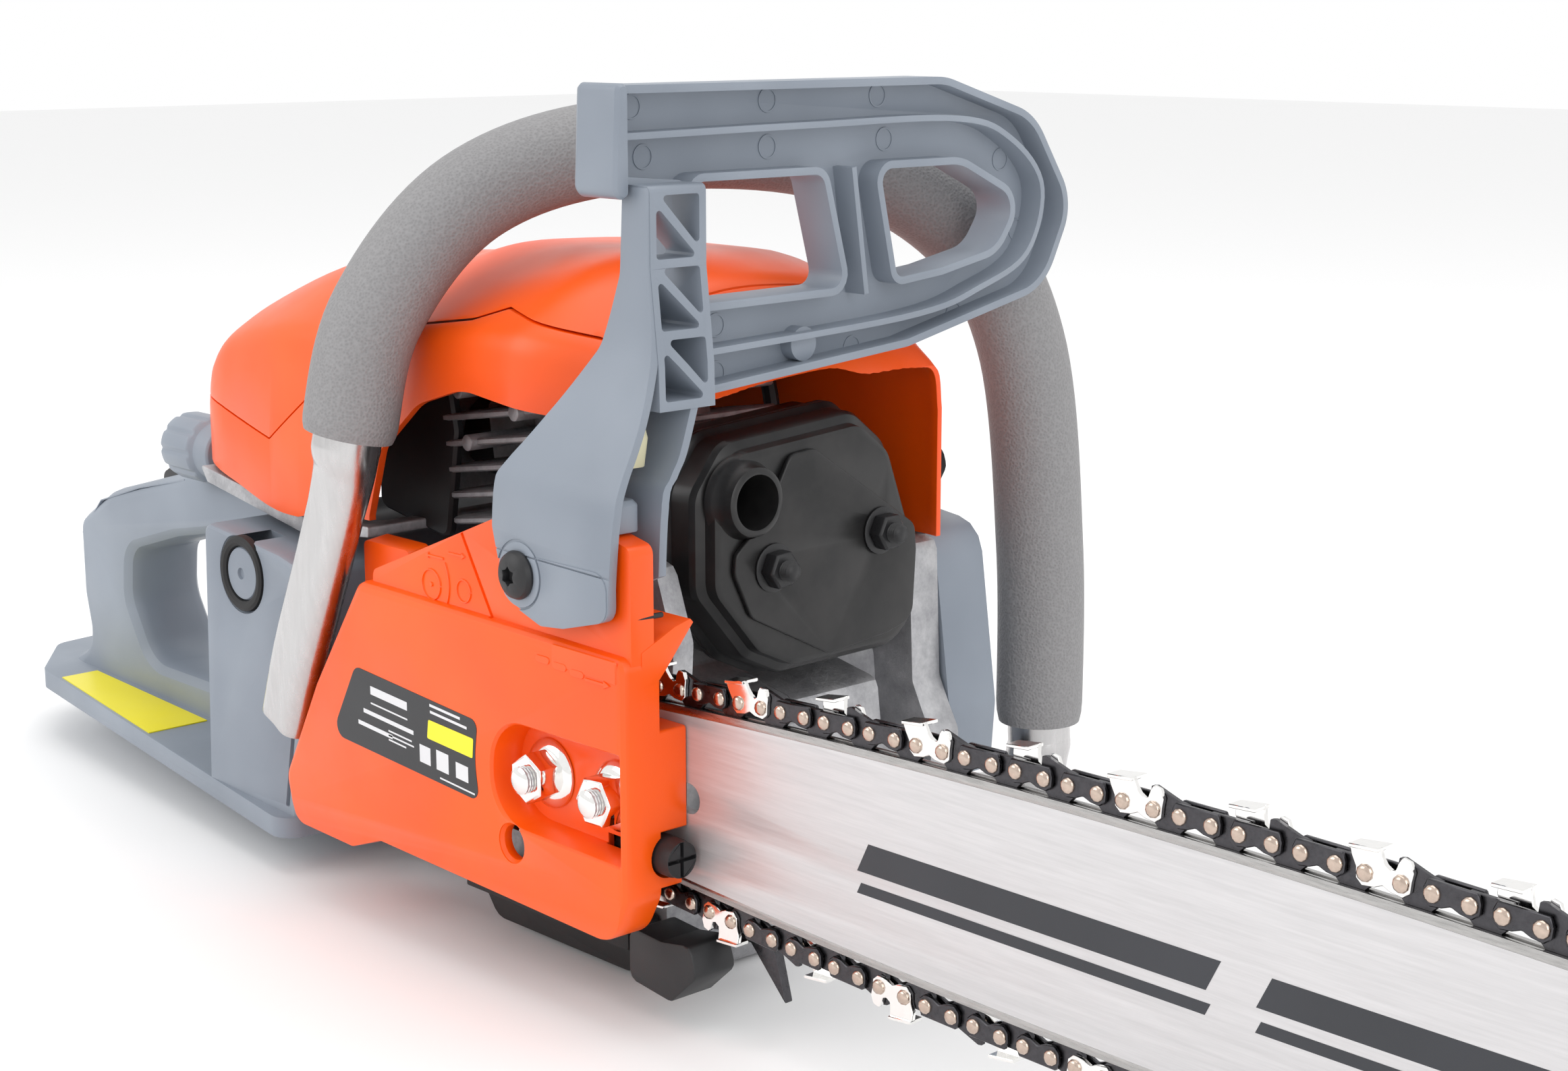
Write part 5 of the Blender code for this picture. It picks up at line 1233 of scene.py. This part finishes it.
def make_silencer():
    seam, face = MUFFLER_SEAM, MUFFLER_FACE
    holes = [cylinder((10, y, z), (1, 0, 0), 3.3, 80, 24) for y, z in MUFFLER_BOLTS]
    back = stack([muffler_outline(3.5), muffler_outline(1.6), muffler_outline(1.6), muffler_outline(0)],
                 "YZ", [MUFFLER_BACK, MUFFLER_BACK + 3, seam - 1.4, seam - 1.2])
    back = join(back, prism(muffler_outline(0), "YZ", seam - 1.3, seam))
    piece("muffler_back_shell", cut(back, *[h.copy() for h in holes]), FINISH["silencer"],
          stands_for=("muffler_back",), edge=0.4, sharp=30)
    shell = stack([muffler_outline(0), muffler_outline(0), muffler_outline(0.9), muffler_outline(1.8),
                   muffler_outline(1.9), muffler_outline(2.8), muffler_outline(5.2),
                   muffler_outline(5.8), muffler_outline(7.4)],
                  "YZ", [seam + 0.3, seam + 1.7, seam + 2.3, seam + 3.4, face - 7.2, face - 5.4,
                         face - 4.2, face - 0.7, face - 0.1])
    collar = turned([(13.6, -3), (12.4, -0.9), (11.4, 0.2), (10.6, 2.6), (10.2, 4.6), (9.2, 5.0)],
                    (face, *OUTLET), (1, 0, 0), 48)
    shell = cut(join(shell, collar), cylinder((face - 16, *OUTLET), (1, 0, 0), 8.2, 40, 48),
                *[h.copy() for h in holes])
    piece("muffler_face_shell", shell, FINISH["silencer"], stands_for=("muffler_face",), edge=0.35,
          sharp=30)

    plate = rounded([(18.8, 154.2, 5), (28.3, 155, 5), (71.3, 126.4, 5), (72.1, 118.4, 5),
                     (70.7, 96.7, 6), (60, 93.7, 5), (35.1, 91.2, 5), (3.1, 107.4, 5), (-3.6, 121.3, 5),
                     (-3, 127, 3), (9, 138, 2)], 4, 6)
    x0 = face + 0.3
    sheet = stack([plate, plate, shrink(plate, 0.4)], "YZ", [x0, x0 + 1.1, x0 + 1.5])
    sheet = cut(sheet, cylinder((40, *OUTLET), (1, 0, 0), 11.2, 40, 48),
                *[cylinder((50, y, z), (1, 0, 0), 3.3, 30, 24) for y, z in MUFFLER_BOLTS])
    grid = bmesh.new()
    grid.from_mesh(temp_mesh(sheet))
    piece("heat_shield_plate", grid, FINISH["silencer"], stands_for=("heat_shield",), edge=0.2)

    washer_nut = gather(
        turned([(3.4, 1.6), (7.2, 1.6), (7.4, 2.0), (7.2, 2.4), (3.4, 2.4)], (0, 0, 0), (1, 0, 0), 24),
        turned([(5.0, 2.3), (5.9, 2.6), (5.9, 6.6), (5.0, 7.2)], (0, 0, 0), (1, 0, 0), 6))
    spots = [((x0, y, z), (0.35 + i, 0, 0)) for i, (y, z) in enumerate(MUFFLER_BOLTS)]
    copies("muffler_nuts", washer_nut, spots, "black", stands_for=("muffler_bolt_left",
                                                                   "muffler_bolt_right"), edge=0.25)
    profile = [(2.9, -31)]
    h = -30.5
    while h < 10.4:
        profile += [(3.1, h), (2.6, h + 0.45)]
        h += 0.9
    profile += [(2.2, 11)]
    copies("muffler_studs", turned(profile, (0, 0, 0), (1, 0, 0), 12), spots, "black", sharp=60)


def temp_mesh(bm):
    mesh = bpy.data.meshes.new("sheet")
    bm.to_mesh(mesh)
    bm.free()
    return mesh


# ================================================================ engine behind the openings

CYL_LEAN = math.radians(9.0)
UP = Vector((-math.sin(CYL_LEAN), 0, math.cos(CYL_LEAN)))
FORE = Vector((math.cos(CYL_LEAN), 0, math.sin(CYL_LEAN)))
CRANK = Vector((CRANK_X, 30.0, CRANK_Z))
DECK_H = 38.0
FIN_HALF_X, FIN_HALF_Y = 43.0, 44.0
FIN_COUNT, FIN_PITCH, FIN_THICK = 8, 8.3, 2.2


def on_cylinder(fore, left, up):
    """Point in the leaning cylinder's own axes, from the crank axis."""
    return CRANK + FORE * fore + Vector((0, left, 0)) + UP * up


BORE_R = 22.0


def make_cylinder():
    """Finned cylinder leaning forward, with its ports, ejector pads and the baffle beside it."""
    barrel = rings_solid([[on_cylinder(u, v, h) for u, v in circle(0, 0, 28, 48)]
                          for h in (DECK_H + 0.3, 109)])
    flange = rings_solid([[on_cylinder(u, v, h) for u, v in box_outline(-30, 30, -34, 34, 8, 5)]
                          for h in (DECK_H + 0.3, DECK_H + 7)])
    ports = [rings_solid([[on_cylinder(f, a, 84 + b) for a, b in box_outline(-16, 16, -12, 12, 3, 4)]
                          for f in (-50, -20)]),
             rings_solid([[on_cylinder(f, a, 70 + b) for a, b in box_outline(-15, 15, -12, 12, 3, 4)]
                          for f in (20, 51.5)])]
    bore = rings_solid([[on_cylinder(u, v, h) for u, v in circle(0, 0, BORE_R + 0.1, 48)]
                        for h in (-4, 101)])
    piece("cylinder_barrel", cut(join(barrel, flange, *ports), bore), FINISH["alloy"],
          stands_for=("cylinder",), edge=0.4)
    panel = rounded([(-104, 120), (-66, 114), (-60, 150), (-66, 176), (-104, 174)], 4, 5)
    piece("air_baffle", stack([shrink(panel, 1), panel, panel], "XZ", [-13.5, -12.5, -10.5]),
          FINISH["black"])
    fin = rounded([(-FIN_HALF_X, -FIN_HALF_Y), (30, -FIN_HALF_Y), (30, FIN_HALF_Y),
                   (-FIN_HALF_X, FIN_HALF_Y)], 9, 5)
    plate = rings_solid([[FORE * u + Vector((0, v, 0)) + UP * h for u, v in line]
                         for line, h in ((shrink(fin, 0.6), 0), (fin, 0.5), (fin, FIN_THICK - 0.5),
                                         (shrink(fin, 0.6), FIN_THICK))])
    spots = [(on_cylinder(0, 0, DECK_H + 12 + i * FIN_PITCH), (0, 0, 0)) for i in range(FIN_COUNT)]
    copies("cylinder_fins", plate, spots, "alloy", sharp=40)
    pin = gather(turned([(2.4, -1.2), (2.6, -1.0), (2.6, 7), (2.6, 26)], (0, 0, 0), (0, 1, 0), 16))
    places = [(fore, i) for i, fore in ((1, 12.0), (3, 2.0), (4, -22.0), (5, 4.0), (6, -24.0))]
    spots = [(on_cylinder(fore, -FIN_HALF_Y - 1.0, DECK_H + 13.1 + i * FIN_PITCH), (0, 0, 0))
             for fore, i in places]
    copies("cylinder_ejector_pads", pin, spots, "alloy", sharp=50)


# ================================================================ tank, rear handle and small parts

PLUG = (-132.5, 97.6)
GRIP_HALF = 16.0
PLATE_EDGE = [(-104, -56, 8), (-312, -33, 12), (-344, -10, 10), (-348, 20, 12), (-322, 40, 12),
              (-190, 58, 10), (-104, 62, 5)]
BODY_OF = {name: group for group, names in frame["record"]["behaviour"]["bodies"].items()
           for name in names}


def frame_shape(name):
    """The node's own shape in the shared frame."""
    node = frame["nodes"][name]
    bm = bmesh.new()
    bm.from_mesh(node.data)
    bm.transform(node.matrix_world)
    return bm


# corner of the section (y, z) that the casting draft takes away
RELIEVED = {"crankcase_right": [(-60, -5), (-8, -5), (-20, 12), (-60, 20)],
            "lower_skid": [(-60, -5), (-28, -5), (-36, 14), (-60, 22)]}

SOFTENED = {
    "crankcase_right": ("alloy", 0.5), "crankcase_left": ("alloy", 0.5), "intake_deck": ("alloy", 0.4),
    "starter_housing": ("grey", 0.7), "lower_skid": ("rubber", 0.9), "chain_catcher": ("black", 0.6),
    "bumper_spike": ("dark", 0.3), "throttle_trigger": ("black", 0.6), "throttle_lock": ("black", 0.7),
    "stop_switch": ("black", 0.4), "choke_knob": ("black", 0.5), "fuel_cap": ("black", 0.5),
    "oil_cap": ("black", 0.5), "starter_grip": ("black", 1.2), "clutch_drum": ("steel", 0.25),
    "tension_block": ("steel", 0.3), "flywheel": ("alloy", 0.3),
}


def make_softened():
    """Cast and moulded nodes with their edges broken."""
    for name, (key, edge) in SOFTENED.items():
        if name in frame["nodes"]:
            bm = frame_shape(name)
            bmesh.ops.remove_doubles(bm, verts=bm.verts, dist=1e-6)
            bmesh.ops.dissolve_limit(bm, angle_limit=0.01, verts=bm.verts, edges=bm.edges)
            bm.transform(Matrix.Scale(1 / MM, 4))
            if name in RELIEVED:
                bm = cut(bm, prism(RELIEVED[name], "YZ", -200, 90))
            piece(name + "_shape", bm, FINISH[key], BODY_OF.get(name, "powerhead"), (name,), edge=edge)


def make_tank():
    """Foot plate, closed rear handle and tank in one moulding, with the plug on its right side."""
    plate_side = rounded([(-100, 12), (-360, 22), (-360, 28), (-300, 27), (-100, 19)], 0.5, 3)
    edge = rounded(PLATE_EDGE, 8, 8)
    plate = common(stack([shrink(edge, 1.2), edge, edge, shrink(edge, 0.6)], "XY", [8, 13, 38, 40]),
                   prism(plate_side, "XZ", -70, 100))
    loop = rounded([(-150, 13, 6), (-150, 116, 6), (-228, 115, 20), (-286, 100, 25), (-311, 86, 9),
                    (-311, 56, 20), (-306, 36, 10), (-325, 27, 6), (-325, 13, 6)], 6, 8)
    hole = rounded([(-166, 38, 10), (-258, 38, 16), (-272, 60, 12), (-270, 78, 9), (-236, 88, 8),
                    (-190, 97, 8), (-166, 97, 6)], 8, 8)
    half = GRIP_HALF
    handle = stack([shrink(loop, 5.4), shrink(loop, 2.6), shrink(loop, 0.8), loop, loop,
                    shrink(loop, 0.8), shrink(loop, 2.6), shrink(loop, 5.4)], "XZ",
                   [-half, -half + 1.2, -half + 3.6, -half + 7, half - 7, half - 3.6, half - 1.2, half])
    handle = cut(handle, stack([shrink(hole, -4.5), shrink(hole, -1.4), hole, hole, shrink(hole, -1.4),
                                shrink(hole, -4.5)], "XZ",
                               [-half - 0.1, -half + 2.2, -half + 6, half - 6, half - 2.2, half + 0.1]))
    side = rounded([(-160, 16, 2), (-106, 14, 4), (-99, 45, 12), (-94, 104, 3), (-110, 107.5, 6),
                    (-156, 112, 4), (-158, 60, 20)], 3, 8)
    tank = stack([shrink(side, 1.6), shrink(side, 0.5), side, side, shrink(side, 1.6)], "XZ",
                 [-50, -49.3, -47.6, 86, 88])
    body = join(plate, handle, tank)
    x, z = PLUG
    body = cut(body,
               turned([(14.4, -60), (13.6, -49.6), (12.9, -48.8), (12.9, -36)], (x, 0, z), (0, 1, 0), 48),
               prism([(-222, 80), (-172, 80), (-172, 108), (-222, 105)], "XZ", -5.5, 5.5),
               prism([(-264, 94.5), (-222, 104), (-222, 140), (-264, 140)], "XZ", -5.5, 5.5),
               cylinder((-130, 70, 58), (0, 1, 0), 12, 40, 32),
               prism(rounded([(-111, 22), (-108.8, 22), (-103.2, 50), (-98.4, 98), (-100.6, 98),
                              (-105.4, 50)], 0.6, 3), "XZ", -51, -48.6))
    piece("tank_unit_body", body, FINISH["grey"], stands_for=("tank_unit",), edge=0.6)

    ring = ring_solid([(9.0, -48), (9.4, -50.2), (10.4, -50.9), (11.8, -50.9), (12.7, -50.3),
                       (12.9, -48)], (x, 0, z), (0, 1, 0), 56)
    piece("mount_plug_ring_shape", ring, FINISH["rubber"], stands_for=("mount_plug_ring",))
    cap = turned([(9.1, -44), (9.1, -49.2), (8.6, -49.9), (2.0, -50.3), (1.7, -49.4), (0.2, -49.2)],
                 (x, 0, z), (0, 1, 0), 40)
    piece("mount_plug_cap_shape", cap, FINISH["grey"], stands_for=("mount_plug_cap",))

    seam = []
    for x0, z0, x1, z1 in ((-308, 80, -292, 95), (-292, 95, -262, 104), (-262, 104, -228, 111.6)):
        line = [(x0, z0), (x1, z1), (x1, z1 + 0.5), (x0, z0 + 0.5)]
        seam.append(prism(line, "XZ", -half + 0.9, -half + 3))
    piece("grip_seam", gather(*seam), FINISH["grey"])


def make_plate_label():
    """Plain yellow film on the foot plate's side slope."""
    top = [(-296, 27.2), (-214, 24.0)]
    rows = [[(x, -33.5 - (x + 296) * 0.11, z), (x, -18.5, z), (x, -18.5, z - 0.4),
             (x, -33.5 - (x + 296) * 0.11, z - 0.4)] for x, z in top]
    film = rings_solid(rows)
    piece("plate_label_film", film, FINISH["label_yellow"])


def make_knob():
    """Two-tier grooved knob of the filter cover."""
    x0, y, z = -185.5, -20.0, 127.6
    steps = 120
    rings = []
    for r, h, depth in ((5, 0, 0), (9.6, 0, 0), (10.4, 0.8, 0), (10.4, 9, 0), (11.6, 10, 0.2),
                        (12.2, 11, 0.7), (12.2, 25, 0.9), (11.6, 29, 0.7), (9.6, 31.4, 0.2), (6, 32, 0),
                        (0.02, 32, 0)):
        ring = []
        for i in range(steps):
            a = 2 * math.pi * i / steps
            rr = r - depth * max(0.0, math.cos(10 * a)) ** 3
            ring.append((x0 - h, y + rr * math.cos(a), z + rr * math.sin(a)))
        rings.append(ring)
    piece("filter_cover_knob_shape", rings_solid(rings), FINISH["grey"],
          BODY_OF.get("filter_cover_knob", "powerhead"), ("filter_cover_knob",), edge=0.2, sharp=50)


# ================================================================ camera, floor and light

EYE = Vector((0.59297, -0.48429, 0.28265))
AZIMUTH, ELEVATION = math.radians(46.78), math.radians(11.77)
LENS = 58.45


def make_camera():
    data = bpy.data.cameras.new("camera")
    data.lens = LENS
    data.sensor_width = 36
    data.clip_start = 0.01
    data.clip_end = 60
    camera = bpy.data.objects.new("camera", data)
    bpy.context.scene.collection.objects.link(camera)
    camera.location = EYE
    camera.rotation_euler = (math.pi / 2 - ELEVATION, 0, AZIMUTH)
    bpy.context.scene.camera = camera
    return camera


def soft_light(name, place, target, size, power, colour=(1, 1, 1)):
    data = bpy.data.lights.new(name, "AREA")
    data.shape = "RECTANGLE"
    data.size, data.size_y = size
    data.energy = power
    data.color = colour
    light = bpy.data.objects.new(name, data)
    bpy.context.scene.collection.objects.link(light)
    light.location = place
    light.rotation_euler = (Vector(place) - Vector(target)).to_track_quat("Z", "Y").to_euler()
    return light


def make_stage():
    bm = bmesh.new()
    bmesh.ops.create_grid(bm, x_segments=2, y_segments=2, size=6)
    floor = temp_object(bm, "floor")
    low = min(CAD_BOX[0][2], 0.0)
    floor.location.z = low - 0.0005
    paint = Finish("floor paint", (0.9, 0.9, 0.9), 0.9)
    floor.data.materials.append(paint.material)
    world = bpy.data.worlds.new("studio")
    bpy.context.scene.world = world
    world.use_nodes = True
    world.node_tree.nodes["Background"].inputs[0].default_value = (1, 1, 1, 1)
    world.node_tree.nodes["Background"].inputs[1].default_value = 1.0
    middle = (0.0, 0.0, 0.1)
    lights = [
        soft_light("left softbox", (-0.9, -1.5, 1.1), middle, (1.2, 1.2), 9),
        soft_light("right softbox", (1.9, -0.4, 0.9), middle, (0.9, 1.4), 8),
        soft_light("top softbox", (0.0, 0.2, 1.9), middle, (1.6, 1.6), 10),
    ]
    bpy.context.scene.view_settings.view_transform = "Standard"


def main():
    dress_frame()
    make_chain()
    make_bar()
    make_clutch_cover()
    make_hand_guard()
    make_front_handle()
    make_hood()
    make_silencer()
    make_cylinder()
    make_cover_label()
    make_cover_fasteners()
    make_tank()
    make_plate_label()
    make_knob()
    make_softened()
    make_stage()
    make_camera()


main()
